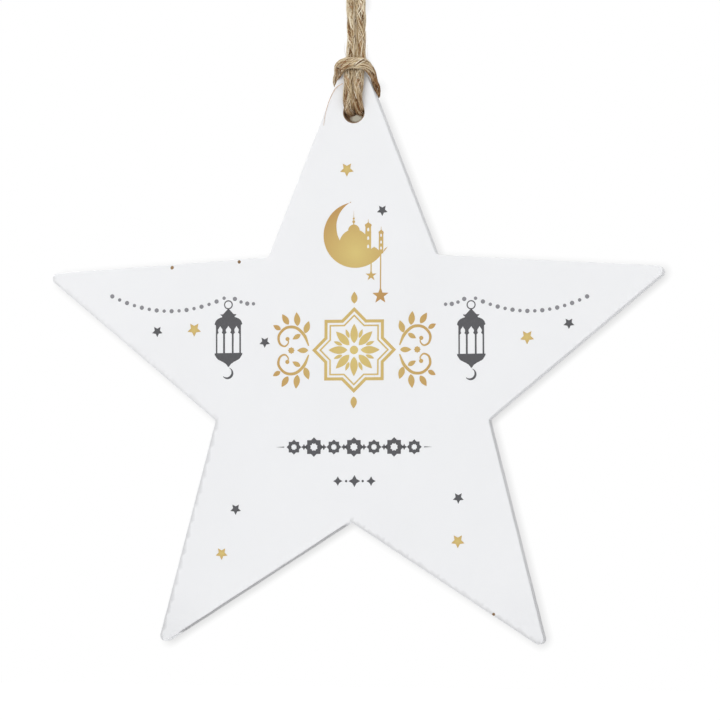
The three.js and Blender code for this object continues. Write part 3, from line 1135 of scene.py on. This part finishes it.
def press_directions(line, tangents):
    """The way in which the board pushes at each point of the twine, square to the twine."""
    height = line[:, 2] - TIP_Z
    edge = np.maximum(0.0, arm_edge(height))
    nearest = line.copy()
    nearest[:, 0] = np.clip(line[:, 0], -edge, edge)
    nearest[:, 1] = np.clip(line[:, 1], -HALF_BOARD, HALF_BOARD)
    hole_top = HOLE_DIAMETER / 2 - HOLE_FROM_TIP
    through = (height < hole_top) & (np.abs(line[:, 0] - HOLE_SHIFT) < HOLE_DIAMETER / 2)
    nearest[through, 2] = TIP_Z + hole_top
    away = line - nearest + [0, -1e-4, 0]
    away -= (away * tangents).sum(axis=1)[:, None] * tangents
    return away / np.linalg.norm(away, axis=1)[:, None]


FIBRES_PER_MM = 10.0
DARK_SHARE = 0.24
CROSSING_SHARE = 0.4
FIBRE_STEP = 2
STRAYS_PER_MM = 3.0
FRAY_COUNT = 26
# Reddish fibres across a strand: x, y, height over the tip and how many steps they slant
BINDING_FIBRES = [(-0.8, 0, 22.4, 1), (-0.7, -2.4, -8.6, -3)]
# Single fibres that show on the front of the pair: tone, how much light reaches them, redness,
# thickness, then their points as x and height over the tip
FRONT_FIBRES = [
    (0.0, 0.4, 0, 0.08, [(1.75, 6.4), (1.29, 5.51), (0.92, 4.54), (0.46, 3.5)]),
    (0.0, 0.4, 0, 0.07, [
        (0.72, 3.49), (0.88, 2.66), (1.09, 1.75), (0.83, 0.85), (0.41, -0.34), (0.3, -1.85),
    ]),
    (0.0, 0.4, 0, 0.07, [(-0.52, 1.34), (-0.28, 0.43), (-0.02, -0.41)]),
    (0.0, 0.4, 0, 0.09, [(0.87, -0.35), (1.1, -0.81), (1.31, -1.42)]),
    (0.0, 0.4, 0, 0.08, [(1.93, 4.89), (2.0, 4.13), (2.05, 3.22)]),
    (0.1, 0.7, 0, 0.06, [(0.39, 3.28), (-0.15, 3.89), (-0.46, 4.36)]),
    (0.1, 0.8, 0.4, 0.06, [(1.46, 7.47), (1.56, 6.86), (1.37, 6.11)]),
    (0.0, 0.6, 0, 0.07, [(-0.42, -2.13), (-0.11, -2.74), (0.2, -3.65)]),
    (1.1, 1, 0, 0.10, [(1.88, 6.24), (1.45, 5.35), (0.86, 4.39), (0.1, 3.43)]),
    (0.9, 1, 0, 0.08, [(1.6, 6.9), (1.0, 5.82), (0.6, 4.92)]),
    (1.0, 1, 0, 0.11, [(-0.9, 4.6), (-0.46, 3.3), (-0.22, 2.24), (0.32, 1.32)]),
    (1.0, 1, 0, 0.11, [(-1.0, 1.8), (-0.74, -0.01), (-0.35, -1.5)]),
    (0.9, 1, 0, 0.09, [(0.64, 0.25), (0.57, -0.8), (0.76, -2.3)]),
    (0.7, 1, 0.8, 0.07, [(-1.5, 6.31), (-0.55, 6.35), (0.29, 6.52)]),
    (0.1, 0.5, 0.2, 0.08, [(-1.9, -6.7), (-1.2, -6.32), (-0.42, -5.96), (0.26, -5.78)]),
    (0.0, 0.4, 0.1, 0.09, [(0.84, -6.18), (1.81, -5.4), (3.0, -4.66)]),
    (0.1, 0.5, 0, 0.07, [(2.01, -6.1), (2.79, -6.04), (3.47, -6.25)]),
    (1.3, 1, 0, 0.12, [(0.95, -5.95), (1.85, -5.2), (2.9, -4.5)]),
    (1.0, 1, 0, 0.10, [(1.2, -6.25), (2.1, -5.6), (3.2, -5.0)]),
    (0.9, 1, 0, 0.08, [(-0.92, -4.6), (-0.04, -4.44), (1.03, -4.4)]),
    (0.0, 0.3, 0, 0.09, [(-0.1, -6.6), (-0.17, -7.26), (-0.32, -8.6)]),
    (0.0, 0.4, 0, 0.08, [(0.11, -8.23), (-0.12, -9.37), (-0.42, -10.7), (-0.06, -11.67)]),
    (0.0, 0.5, 0, 0.07, [(-0.94, -9.45), (-0.75, -10.41), (-0.85, -11.27)]),
    (0.0, 0.3, 0, 0.09, [(1.03, -12.27), (1.3, -13.0), (1.5, -13.6)]),
    (1.0, 1, 0, 0.10, [(0.78, -6.6), (1.08, -7.49), (1.32, -8.45)]),
    (1.0, 1, 0, 0.09, [(-0.58, -6.77), (-0.52, -7.64), (-0.71, -8.4)]),
    (1.0, 1, 0, 0.10, [(0.51, -10.73), (0.91, -11.69), (1.11, -12.65)]),
    (0.9, 1, 0, 0.09, [(0.31, -8.81), (0.6, -9.58), (1.0, -10.36), (1.3, -11.32)]),
    (0.7, 1, 0.8, 0.06, [(-0.08, -8.64), (0.9, -8.77), (1.75, -8.56)]),
    (0.6, 1, 0.7, 0.05, [(0.89, -8.82), (1.4, -9.18), (1.75, -9.9)]),
]
TUBE_SIDES = 4
# Where a furrow between two plies crosses the middle of the collar, and how much tighter the
# twine is twisted there
COLLAR_SEAM = np.array([1.8, -4.0, TIP_Z - 5.4])
COLLAR_TWIST = 0.28
COLLAR_REACH = 4.5
FURROW_FIBRES_PER_MM = 7.0
OUTER_SHARE = 0.3
# Where light is painted on the twine: how much lighter its fibres are and how much groove shade goes
PAINTED_LIGHT_LIFT = 0.05
PAINTED_LIGHT_FILL = 0.5
FRONT_LIFT = 0.03
RIDGE_HEIGHT = 0.014
RIDGE_ROUGHNESS = 0.045


def evened(tone, pale):
    """A fibre's tone, nearer to the middle one and a little lighter where light is painted on the twine."""
    return 0.5 + (tone - 0.5) * (1 - pale) + PAINTED_LIGHT_LIFT * pale


def tapered(width, t):
    """The widths of a fibre that is thinner at both ends, as t goes from -1 to 1."""
    return width * (1 - 0.8 * t**4)


class Twine:
    """The whole twine's surface, from which each piece takes the stretch that it shows."""

    def __init__(self, seed):
        self.random = np.random.default_rng(seed)
        route = smooth_line(whole_route(), TWINE_STEP)
        self.line = route[:, :3]
        self.thin, self.wide, self.painted_shading = route[:, 3:].T
        lengths = np.linalg.norm(np.diff(self.line, axis=0), axis=1)
        self.along = np.concatenate([[0], np.cumsum(lengths)])
        self.tangents, self.normals, self.binormals = carried_frames(self.line, (1, 0, 0))
        self.press = press_directions(self.line, self.tangents)
        self.spread = np.cross(self.tangents, self.press)
        swell = 1 + 0.03 * smooth_noise(self.random, self.along, (), 5, 15)
        self.radius = TWINE_DIAMETER / 2 * swell
        wander_phase = 0.25 * smooth_noise(self.random, self.along, (PLY_COUNT,), 6, 18)
        spacing = np.arange(PLY_COUNT) * 2 * math.pi / PLY_COUNT
        self.phase = wander_phase + spacing - 2 * math.pi * self.along[:, None] / LAY_LENGTH
        self.phase += self.collar_turn()[:, None]
        self.points, self.attributes = self.plies()
        self.fibres = (
            self.surface_fibres() + self.stray_fibres() + self.frayed_ends() + self.binding_fibres()
            + self.furrow_fibres() + self.front_fibres()
        )

    def collar_turn(self):
        """The extra turn of the plies that brings a furrow to the seam's place on the front of the
        collar, eased out on both sides of it."""
        at = int(np.argmin(np.linalg.norm(self.line - COLLAR_SEAM, axis=1)))
        front = math.atan2(-self.binormals[at][1], -self.normals[at][1])
        furrows = self.phase[at] + math.pi / PLY_COUNT
        turns = (front - furrows + math.pi) % (2 * math.pi) - math.pi
        turn = turns[np.argmin(np.abs(turns))]
        away = self.along - self.along[at]
        tighter = -COLLAR_TWIST * away * np.exp(-(away / COLLAR_REACH) ** 2)
        return turn * np.clip((9 - np.abs(away)) / 6, 0, 1) + tighter

    def placed(self, at, angle, reach):
        """Points of the given angles and reaches round the twine at its points, squashed as it is."""
        ones = (slice(None),) + (None,) * (np.ndim(angle) - 1)
        x, y = reach * np.cos(angle), reach * np.sin(angle)
        offset = x[..., None] * self.normals[at][ones] + y[..., None] * self.binormals[at][ones]
        for way, factor in ((self.press, self.thin), (self.spread, self.wide)):
            direction = way[at][ones]
            share = (offset * direction).sum(axis=-1) * (factor[at][ones] - 1)
            offset = offset + share[..., None] * direction
        return self.line[at][ones] + offset

    def envelope(self, at, angle):
        """How far the plies' surface lies from the twine's middle at an angle, as a share."""
        off = angle[:, None] - self.phase[at]
        off = np.abs((off + math.pi) % (2 * math.pi) - math.pi).min(axis=1)
        return PLY_PLACE * np.cos(off) + np.sqrt(PLY_SIZE**2 - (PLY_PLACE * np.sin(off)) ** 2)

    def plies(self):
        """Points of the plies' ridged surfaces, rings by plies by ridges, and their attributes."""
        random, along = self.random, self.along
        ridge = np.arange(RIDGES_PER_PLY)
        jitter = random.uniform(-0.3, 0.3, (PLY_COUNT, RIDGES_PER_PLY))
        drift = 0.6 * smooth_noise(random, along, (PLY_COUNT,), 10, 30)
        theta = ((ridge + jitter) * 2 * math.pi / RIDGES_PER_PLY)[None] + drift[:, :, None]
        size = 1 + 0.05 * smooth_noise(random, along, (PLY_COUNT,), 5, 14)
        rough = smooth_noise(random, along, (PLY_COUNT, RIDGES_PER_PLY), 2.5, 9)
        ridged = 1 + RIDGE_ROUGHNESS * rough + np.where(ridge % 2 == 0, RIDGE_HEIGHT, -RIDGE_HEIGHT)
        radius = self.radius[:, None, None]
        reach = PLY_SIZE * radius * size[:, :, None] * ridged
        x = PLY_PLACE * radius * np.cos(self.phase)[:, :, None] + reach * np.cos(theta)
        y = PLY_PLACE * radius * np.sin(self.phase)[:, :, None] + reach * np.sin(theta)
        depth = np.hypot(x, y)
        points = self.placed(np.arange(len(along)), np.arctan2(y, x), depth)
        # Painted shade: the groove attribute goes to 0 deep between the plies
        groove = np.clip((depth / radius - 0.77) / 0.18, 0, 1)
        tone = smooth_noise(random, along, (PLY_COUNT, RIDGES_PER_PLY), 2.5, 10)
        ply_tone = smooth_noise(random, along, (PLY_COUNT,), 8, 20)[:, :, None]
        fibre = np.clip(0.52 + 0.36 * tone + 0.20 * ply_tone + 0.10 * rough, 0, 1)
        # pale is painted light, where the route's last column is negative: it lifts the fibres' tone and
        # takes away some of the grooves' painted shade
        pale = np.maximum(-self.painted_shading, 0)[:, None, None]
        groove = 1 - (1 - groove) * (1 - PAINTED_LIGHT_FILL * pale)
        turn = np.arange(PLY_COUNT)[:, None] + ridge / RIDGES_PER_PLY
        attributes = {
            "fibre": evened(fibre, pale),
            "groove": groove,
            "around": np.broadcast_to(turn[None], fibre.shape),
            "along": np.broadcast_to(along[:, None, None], fibre.shape),
            "red": np.zeros(fibre.shape),
            "painted_shading": np.broadcast_to(np.maximum(self.painted_shading, 0)[:, None, None], fibre.shape),
        }
        return points, attributes

    def fibre(self, at, angle, lift, widths, tone, red=0.0):
        """One fibre: the points of the twine that it follows, its rings, its tone, its redness and
        how much light reaches it."""
        reach = self.radius[at] * self.envelope(at, angle) + lift
        centre = self.placed(at, angle, reach)
        return at, stray_rings(centre, widths), tone, red, 1.0

    def front_fibres(self):
        """The single fibres that show on the front of the pair, laid on its surface."""
        made = []
        x, y, z = self.line.T
        for tone, light, red, width, points in FRONT_FIBRES:
            flat = np.array([(a, 0.0, TIP_Z + height) for a, height in points])
            centre = smooth_line(flat, TWINE_STEP)
            at = []
            for point in centre:
                off = np.hypot(x - point[0], z - point[2]) / (self.radius * self.wide)
                front = y - self.radius * self.thin * np.sqrt(np.clip(1 - off**2, 0, 1))
                front = np.where(y < 0.5, front + 9 * np.maximum(off - 1, 0), np.inf)
                at.append(int(front.argmin()))
                point[1] = front.min() + FRONT_LIFT
            rings = stray_rings(centre, tapered(width, np.linspace(-1, 1, len(centre))))
            made.append((np.array(at), rings, tone, red, light))
        return made

    def surface_fibres(self):
        """Fibres that lie along the plies at a slight angle, half sunk in them."""
        random, made = self.random, []
        for _ in range(int(self.along[-1] * FIBRES_PER_MM)):
            count = random.integers(6, 15)
            start = random.integers(0, len(self.line) - FIBRE_STEP * count)
            at = start + FIBRE_STEP * np.arange(count)
            run = self.along[at] - self.along[start]
            crossing = random.random() < CROSSING_SHARE
            slant = random.normal(-0.8, 1.6) if crossing else random.normal(0.6, 0.5)
            turn = -2 * math.pi / LAY_LENGTH * slant
            wave = random.uniform(0.05, 0.3)
            wave = wave * np.sin(run * random.uniform(0.5, 1.4) + random.uniform(0, 6))
            angle = random.uniform(0, 2 * math.pi) + turn * run + wave
            t = np.linspace(-1, 1, count)
            dark = random.random() < DARK_SHARE
            width = random.uniform(0.03, 0.07) if dark else random.uniform(0.035, 0.105)
            lift = width * random.uniform(-0.4, 0.7) - 0.05 * t**4
            tone = random.uniform(0.05, 0.3) if dark else 0.12 + 0.76 * random.beta(1.8, 1.3)
            red = 0.35 * dark * random.random()
            made.append(self.fibre(at, angle, lift, tapered(width, t), tone, red))
        return made

    def stray_fibres(self):
        """Thin fibres whose ends stand off the twine."""
        random, made = self.random, []
        for _ in range(int(self.along[-1] * STRAYS_PER_MM)):
            count = random.integers(5, 10)
            span = FIBRE_STEP * count
            start = random.integers(span, len(self.line) - span)
            at = start + random.choice([-1, 1]) * FIBRE_STEP * np.arange(count)
            t = np.linspace(0, 1, count)
            angle = random.uniform(0, 2 * math.pi) + random.normal(0, 0.8) * t
            lift = (random.exponential(0.25) + 0.04) * t**1.5
            widths = random.uniform(0.018, 0.038) * (1.05 - 0.75 * t)
            made.append(self.fibre(at, angle, lift, widths, random.uniform(0.25, 1.0)))
        return made

    def binding_fibres(self):
        """Reddish fibres that cross the front of a strand, where the photograph shows them."""
        made = []
        for x, y, height, slope in BINDING_FIBRES:
            place = np.array([x, y, TIP_Z + height])
            middle = int(np.argmin(np.linalg.norm(self.line - place, axis=1)))
            at = middle + np.round(np.linspace(-slope, slope, 9)).astype(int)
            front = np.arctan2(-self.binormals[middle][1], -self.normals[middle][1])
            angle = front + np.linspace(-1.5, 1.5, 9)
            widths = 0.06 * np.array([0.4, 0.8, 1, 1, 1, 1, 1, 0.8, 0.4])
            made.append(self.fibre(at, angle, 0.03, widths, 0.7, 0.75))
        return made

    def furrow_fibres(self):
        """Fibres in the furrow between the strands, where these run side by side, and some low on
        their outer sides."""
        random, made = self.random, []
        x, y, z = self.line.T
        paired = (z < TIP_Z + 44) & (np.abs(x) < 2.3) & ((z > TIP_Z) | (y < -2.2) & (z > TIP_Z - 13.5))
        half = np.arange(len(z)) < len(z) // 2
        for side, mine in ((-1, paired & half), (1, paired & ~half)):
            where = np.flatnonzero(mine & (np.abs(self.tangents[:, 2]) > 0.9))
            for _ in range(int(len(where) * TWINE_STEP * FURROW_FIBRES_PER_MM)):
                count = random.integers(6, 13)
                start = random.choice(where)
                at = np.clip(start + FIBRE_STEP * np.arange(count), 0, len(z) - 1)
                t = np.linspace(-1, 1, count)
                outer = random.random() < OUTER_SHARE
                low, high, way = (-35, 30, side) if outer else (15, 70, -side)
                facing = math.radians(random.uniform(low, high)) + random.normal(0, 0.4) * t
                aim = np.stack([way * np.cos(facing), -np.sin(facing), np.zeros(count)], axis=1)
                angle = np.arctan2(
                    (aim * self.binormals[at]).sum(axis=1), (aim * self.normals[at]).sum(axis=1),
                )
                widths = tapered(random.uniform(0.03, 0.08), t)
                lift = random.uniform(-0.08, 0.16) - 0.08 * t**4
                # The outer fibres get lighter tones: painted light where the strands' edges catch light
                tone = random.uniform(0.5, 1.1) if outer else random.uniform(0.1, 0.9)
                made.append(self.fibre(at, angle, lift, widths, tone))
        return made

    def frayed_ends(self):
        """Fibres that spread from the twine's two cut ends."""
        random, made = self.random, []
        for end, way in ((0, -1), (len(self.line) - 1, 1)):
            for _ in range(FRAY_COUNT):
                angle, share = random.uniform(0, 2 * math.pi), random.uniform(0.1, 0.9)
                t = np.linspace(0, 1, 6)[:, None]
                out = self.normals[end] * math.cos(angle) + self.binormals[end] * math.sin(angle)
                start = self.line[end] + out * share * self.radius[end]
                run = way * self.tangents[end] * random.uniform(0.8, 2.0)
                centre = start + run * t + out * random.uniform(0.1, 0.8) * t**1.6
                widths = random.uniform(0.03, 0.07) * (1 - 0.6 * t[:, 0])
                at = np.full(len(centre), end)
                made.append((at, stray_rings(centre, widths), random.uniform(0.2, 1.0), 0.0, 1.0))
        return made

    def nearest(self, x, z):
        """The index of the free strand's point at that height, on that side."""
        gap = np.abs(self.line[:, 2] - z) + 3 * np.abs(self.line[:, 0] - x) + 3 * np.abs(self.line[:, 1])
        return int(np.argmin(gap))

    def piece(self, name, first, last, material):
        """The mesh of the plies and fibres between two rings."""
        points, faces, attributes = [], [], {key: [] for key in self.attributes}
        base = 0
        for ply in range(PLY_COUNT):
            rings = self.points[first:last + 1, ply]
            points.append(rings.reshape(-1, 3))
            for key, values in self.attributes.items():
                attributes[key].append(values[first:last + 1, ply].ravel())
            faces += tube_faces(len(rings), RIDGES_PER_PLY, base)
            base += len(rings) * RIDGES_PER_PLY
        for at, rings, tone, red, light in self.fibres:
            rings = rings[(first <= at) & (at <= last)]
            if len(rings) < 2:
                continue
            points.append(rings.reshape(-1, 3))
            count = len(points[-1])
            # Each fibre takes the painted shade or painted light of the route at its first point
            painted_shading = self.painted_shading[at[0]]
            pale = max(-painted_shading, 0)
            values = {
                "fibre": evened(tone, pale), "groove": light, "red": red, "painted_shading": max(painted_shading, 0),
                "around": tone * 7, "along": self.along[at[0]],
            }
            for key, value in values.items():
                attributes[key].append(np.full(count, value))
            faces += tube_faces(len(rings), TUBE_SIDES, base)
            base += count
        joined = {key: np.concatenate(values) for key, values in attributes.items()}
        made = mesh_object(name, np.concatenate(points), faces, material, joined)
        return made

    def path(self, first, last):
        return (self.line[first:last + 1] * MM).tolist()

    def length(self, first, last):
        return float(self.along[last] - self.along[first]) * MM


def tube_faces(rings, sides, base):
    """The faces of a closed tube whose rings of points follow each other from base."""
    faces = []
    for r in range(rings - 1):
        for k in range(sides):
            a, b = base + r * sides + k, base + r * sides + (k + 1) % sides
            faces.append([a, b, b + sides, a + sides])
    faces.append([base + k for k in range(sides)][::-1])
    faces.append([base + (rings - 1) * sides + k for k in range(sides)])
    return faces


def stray_rings(centre, widths):
    """Rings of points round a thin fibre's middle line."""
    _, across, other = carried_frames(centre, (0.31, 0.83, 0.46))
    angles = np.arange(TUBE_SIDES) * 2 * math.pi / TUBE_SIDES
    circle = (
        np.cos(angles)[None, :, None] * across[:, None]
        + np.sin(angles)[None, :, None] * other[:, None]
    )
    return centre[:, None] + circle * widths[:, None, None]


LOOSE_FIBRE = [
    (-1.9, -2.6, -9.3), (-2.5, -2.2, -9.5), (-3.3, -1.85, -9.9), (-4.1, -1.62, -10.9),
    (-4.9, -1.56, -12.6), (-5.45, -1.55, -14.3), (-5.75, -1.56, -15.8), (-6.0, -1.62, -17.6),
]


def loose_fibre(material):
    """One long reddish fibre that has come out of the twine and lies down the arm's edge."""
    line = smooth_line(np.array(LOOSE_FIBRE) + [0, 0, TIP_Z], TWINE_STEP)
    widths = 0.075 * (1 - 0.65 * np.linspace(0, 1, len(line)))
    rings = stray_rings(line, widths)
    count = rings.shape[0] * rings.shape[1]
    tones = {"fibre": 0.75, "groove": 1.0, "around": 3.0, "along": 2.0, "red": 0.45, "painted_shading": 0.0}
    attributes = {key: np.full(count, value) for key, value in tones.items()}
    faces = tube_faces(len(rings), TUBE_SIDES, 0)
    made = mesh_object("loose_fibre", rings.reshape(-1, 3), faces, material, attributes)
    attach(made, "star")


UPPER_CUT = TIP_Z + 32.5
LOWER_CUT = TIP_Z + 17.25
# How far the twine's bends reach above and below their joints
TWIST_REACH = (6, 6)
SWAY_REACH = (4, 5)
TILT_REACH = (4, 4)
TWINE_SEED = 11


def bend(piece, upper_body, lower_body, height, reach):
    """The piece bends between two bodies, round a joint at that height over the tip."""
    above, below = reach
    ends = [(0, 0, (TIP_Z + height + way) * MM) for way in (above, -below)]
    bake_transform(piece, upper_body, lower_body, start=ends[0], end=ends[1])


def hang_twine(material):
    """The twine's five pieces: each bends at one joint, and they meet on the straight strands."""
    twine = Twine(TWINE_SEED)

    cuts = {
        side: [twine.nearest(side * STRAND_OFFSET, z) for z in (UPPER_CUT, LOWER_CUT)]
        for side in (-1, 1)
    }
    spans = {-1: (0, cuts[-1][0]), 1: (cuts[1][0], len(twine.line) - 1)}
    for side, word in ((-1, "left"), (1, "right")):
        upper, lower = cuts[side]
        turning = twine.piece(
            f"turning_strand_{word}", min(upper, lower), max(upper, lower), material,
        )
        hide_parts(f"upper_strand_{word}", f"lower_strand_{word}")
        bend(turning, "upper_twine", "lower_twine", TURN_HEIGHT, TWIST_REACH)
        hanging = twine.piece(f"hanging_twine_{word}", *spans[side], material)
        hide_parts(f"hanging_loop_{word}")
        bend(hanging, "hanger", "upper_twine", SWAY_HEIGHT, SWAY_REACH)
        if side < 0:
            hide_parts("end_knot")
    first, last = cuts[-1][1], cuts[1][1]
    hitched = twine.piece("hitched_twine", first, last, material)
    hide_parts("twine_hitch")
    bend(hitched, "lower_twine", "star", BEND_HEIGHT, TILT_REACH)


# Stage


def plane(name, corners, material):
    mesh_object(name, corners, [(0, 1, 2, 3)], material)


def seen_ray(tree):
    """1 for the camera's rays and for rays mirrored or passed through to it, 0 for the light's."""
    path = add_node(tree, "ShaderNodeLightPath").outputs
    seen = calculate(tree, "MAXIMUM", path["Is Camera Ray"], path["Is Glossy Ray"])
    return calculate(tree, "MAXIMUM", seen, path["Is Transmission Ray"])


FLOOR_LEVEL = -230
FLOOR_SIZE = 1600
FLOOR_NEAR, FLOOR_FAR = 0.15, 0.6
FLOOR_GLOW = 0.35


def pale_floor():
    """A pale floor that keeps the object's shadow and fades to white away from it."""
    material, tree, shader = new_material("pale_floor")
    far = ramp(tree, vector_math(tree, "LENGTH", object_place(tree)), FLOOR_NEAR, FLOOR_FAR)
    seen = seen_ray(tree)
    faded = calculate(tree, "MULTIPLY", far, seen)
    glow = add_share(tree, FLOOR_GLOW, far, 1 - FLOOR_GLOW)
    fill_inputs(tree, shader, {
        "Base Color": mix_colours(tree, faded, (0.85, 0.85, 0.86, 1), (0, 0, 0, 1)),
        "Emission Strength": calculate(tree, "MULTIPLY", glow, seen),
        "Emission Color": (1, 1, 1, 1),
        "Roughness": 0.9,
        "Specular IOR Level": 0.1,
    })
    corners = [(-1, -1), (1, -1), (1, 1), (-1, 1)]
    plane("floor", [(x * FLOOR_SIZE, y * FLOOR_SIZE, FLOOR_LEVEL) for x, y in corners], material)


WALL_DEPTH = HALF_BOARD + 0.15
WALL_SIDE, WALL_TOP, WALL_FOOT = 110, 20, -200
SHADOW_LEAN = (-0.50, -0.70, 0.45)
SHADOW_REACH = 0.0017
SHADOW_DEPTH = 0.42
# The painted shade seen through the hole: its middle, how it is squashed, and its colours from the middle
# out
IN_HOLE_MIDDLE = (0.05, 51.85)
IN_HOLE_SQUASH = (1, 1, 1.6)
IN_HOLE_LIGHT, IN_HOLE_DARK = srgb(172, 166, 151), srgb(84, 62, 42)


def wall_shade(tree):
    """The star's shadow beside it, away from the light. Where something crosses the wall, as the
    turned star does, there is none."""
    lean = Vector(SHADOW_LEAN).normalized()
    before = openness(tree, SHADOW_REACH, lean, 24)
    behind = openness(tree, SHADOW_REACH, (lean.x, -lean.y, lean.z), 12)
    shade = calculate(tree, "MAXIMUM", calculate(tree, "SUBTRACT", behind, before), 0.0)
    return calculate(tree, "MULTIPLY", shade, SHADOW_DEPTH)


def through_hole(tree):
    """The pale painted shade seen through the hole, darker towards its edge, and where it is drawn: at
    the hole, and only while the board is round this place."""
    place = object_place(tree)
    x, z = HOLE_PLACE
    hole = (x * MM, WALL_DEPTH * MM, (z + CENTRE_Z) * MM)
    near = ramp(tree, vector_math(tree, "DISTANCE", place, hole), 0.0036, 0.0032)
    enclosed = ramp(tree, openness(tree, 0.004, (0, -1, 0), 16), 0.46, 0.36)
    x, z = IN_HOLE_MIDDLE
    middle = (x * MM, WALL_DEPTH * MM, (z + CENTRE_Z) * MM)
    off = vector_math(tree, "SUBTRACT", place, middle)
    off = vector_math(tree, "LENGTH", vector_math(tree, "MULTIPLY", off, IN_HOLE_SQUASH))
    off = add_share(tree, off, noise(tree, INK_GRAIN, place, 2), 0.0006)
    hole_shade = mix_colours(tree, ramp(tree, off, 0.0010, 0.0018), IN_HOLE_LIGHT, IN_HOLE_DARK)
    return hole_shade, calculate(tree, "MULTIPLY", near, enclosed)


def shadow_wall():
    """A see-through wall close behind the star that the camera sees only as a shadow next to the
    star. It bounces light as a white wall does, and from behind it isn't there."""
    material, tree, _ = new_material("shadow_wall")
    tree.nodes.clear()
    outside = calculate(tree, "SUBTRACT", 1.0, wall_shade(tree))
    hole_shade, drawn = through_hole(tree)
    light = mix_colours(tree, drawn, outside, hole_shade)
    rays = add_node(tree, "ShaderNodeLightPath").outputs
    behind = add_node(tree, "ShaderNodeNewGeometry").outputs["Backfacing"]
    ahead = calculate(tree, "SUBTRACT", 1.0, behind)
    seen = calculate(tree, "MULTIPLY", rays["Is Camera Ray"], ahead)
    solid = calculate(tree, "MULTIPLY", rays["Is Diffuse Ray"], ahead)
    tint = mix_colours(tree, seen, (1, 1, 1, 1), light)
    clear = add_node(tree, "ShaderNodeBsdfTransparent", {"Color": tint}).outputs[0]
    white = add_node(tree, "ShaderNodeBsdfDiffuse", {"Color": (0.8, 0.8, 0.8, 1)}).outputs[0]
    surface = add_node(tree, "ShaderNodeMixShader", {0: solid, 1: clear, 2: white}).outputs[0]
    add_node(tree, "ShaderNodeOutputMaterial", {"Surface": surface})
    right, top, foot = WALL_SIDE, WALL_TOP, WALL_FOOT
    corners = [(-right, foot), (right, foot), (right, top), (-right, top)]
    plane("shadow_wall", at_depth(np.array(corners, float), WALL_DEPTH), material)


LIGHT_FROM_BELOW, LIGHT_FROM_ABOVE = 0.12, 0.56
# Each lamp's name, place in metres, power, size and colour
LAMPS = [
    ("key_light", (-0.38, -1.0, 0.55), 7.1, 1.1, (1.0, 0.99, 0.97)),
    ("fill_light", (0.85, -0.85, 0.05), 2.8, 0.9, (1.0, 0.985, 0.97)),
    ("back_light", (-0.4, 0.9, 0.3), 7.5, 0.8, (1.0, 1.0, 1.0)),
]


def white_world():
    """White to the camera. Everything else gets a soft even light, brighter from above."""
    world = bpy.data.worlds.new("studio")
    world.use_nodes = True
    tree = world.node_tree
    tree.nodes.clear()
    seen = seen_ray(tree)
    way = add_node(tree, "ShaderNodeTexCoord").outputs["Generated"]
    height = add_node(tree, "ShaderNodeSeparateXYZ", {"Vector": way}).outputs["Z"]
    light = add_node(tree, "ShaderNodeMapRange", {
        "Value": height, "From Min": -1.0, "From Max": 1.0,
        "To Min": LIGHT_FROM_BELOW, "To Max": LIGHT_FROM_ABOVE,
    }).outputs[0]
    strength = add_node(tree, "ShaderNodeMapRange", {
        "Value": seen, "To Min": light, "To Max": 1.0,
    }).outputs[0]
    colour = mix_colours(tree, seen, (0.98, 0.99, 1.0, 1), (1, 1, 1, 1))
    inputs = {"Color": colour, "Strength": strength}
    background = add_node(tree, "ShaderNodeBackground", inputs).outputs[0]
    add_node(tree, "ShaderNodeOutputWorld", {"Surface": background})
    bpy.context.scene.world = world


def lamp(name, place, power, size, colour):
    """A square soft box that faces the star's centre."""
    data = bpy.data.lights.new(name, "AREA")
    data.energy = power
    data.size = size
    data.color = colour
    made = add_to_scene(name, data)
    made.location = Vector(place)
    aim = Vector((0, 0, CENTRE_Z * MM)) - made.location
    made.rotation_euler = aim.to_track_quat("-Z", "Y").to_euler()


def photo_camera():
    data = bpy.data.cameras.new("photo_camera")
    data.lens = CAMERA_LENS
    data.sensor_width = 36
    data.clip_start, data.clip_end = 0.05, 20
    camera = add_to_scene("photo_camera", data)
    matrix = Matrix.Translation(Vector(CAMERA_PLACE) * MM)
    for angle, axis in ((CAMERA_TURN, "Z"), (90 + CAMERA_TILT, "X"), (CAMERA_ROLL, "Z")):
        matrix = matrix @ Matrix.Rotation(math.radians(angle), 4, axis)
    camera.matrix_world = matrix
    bpy.context.scene.camera = camera


photo_camera()
twine_fibre = jute()
hang_twine(twine_fibre)
loose_fibre(twine_fibre)
painted_board(painted_wood())
printed_motifs()
pale_floor()
shadow_wall()
white_world()
for settings in LAMPS:
    lamp(*settings)
bpy.context.scene.view_settings.view_transform = "Standard"
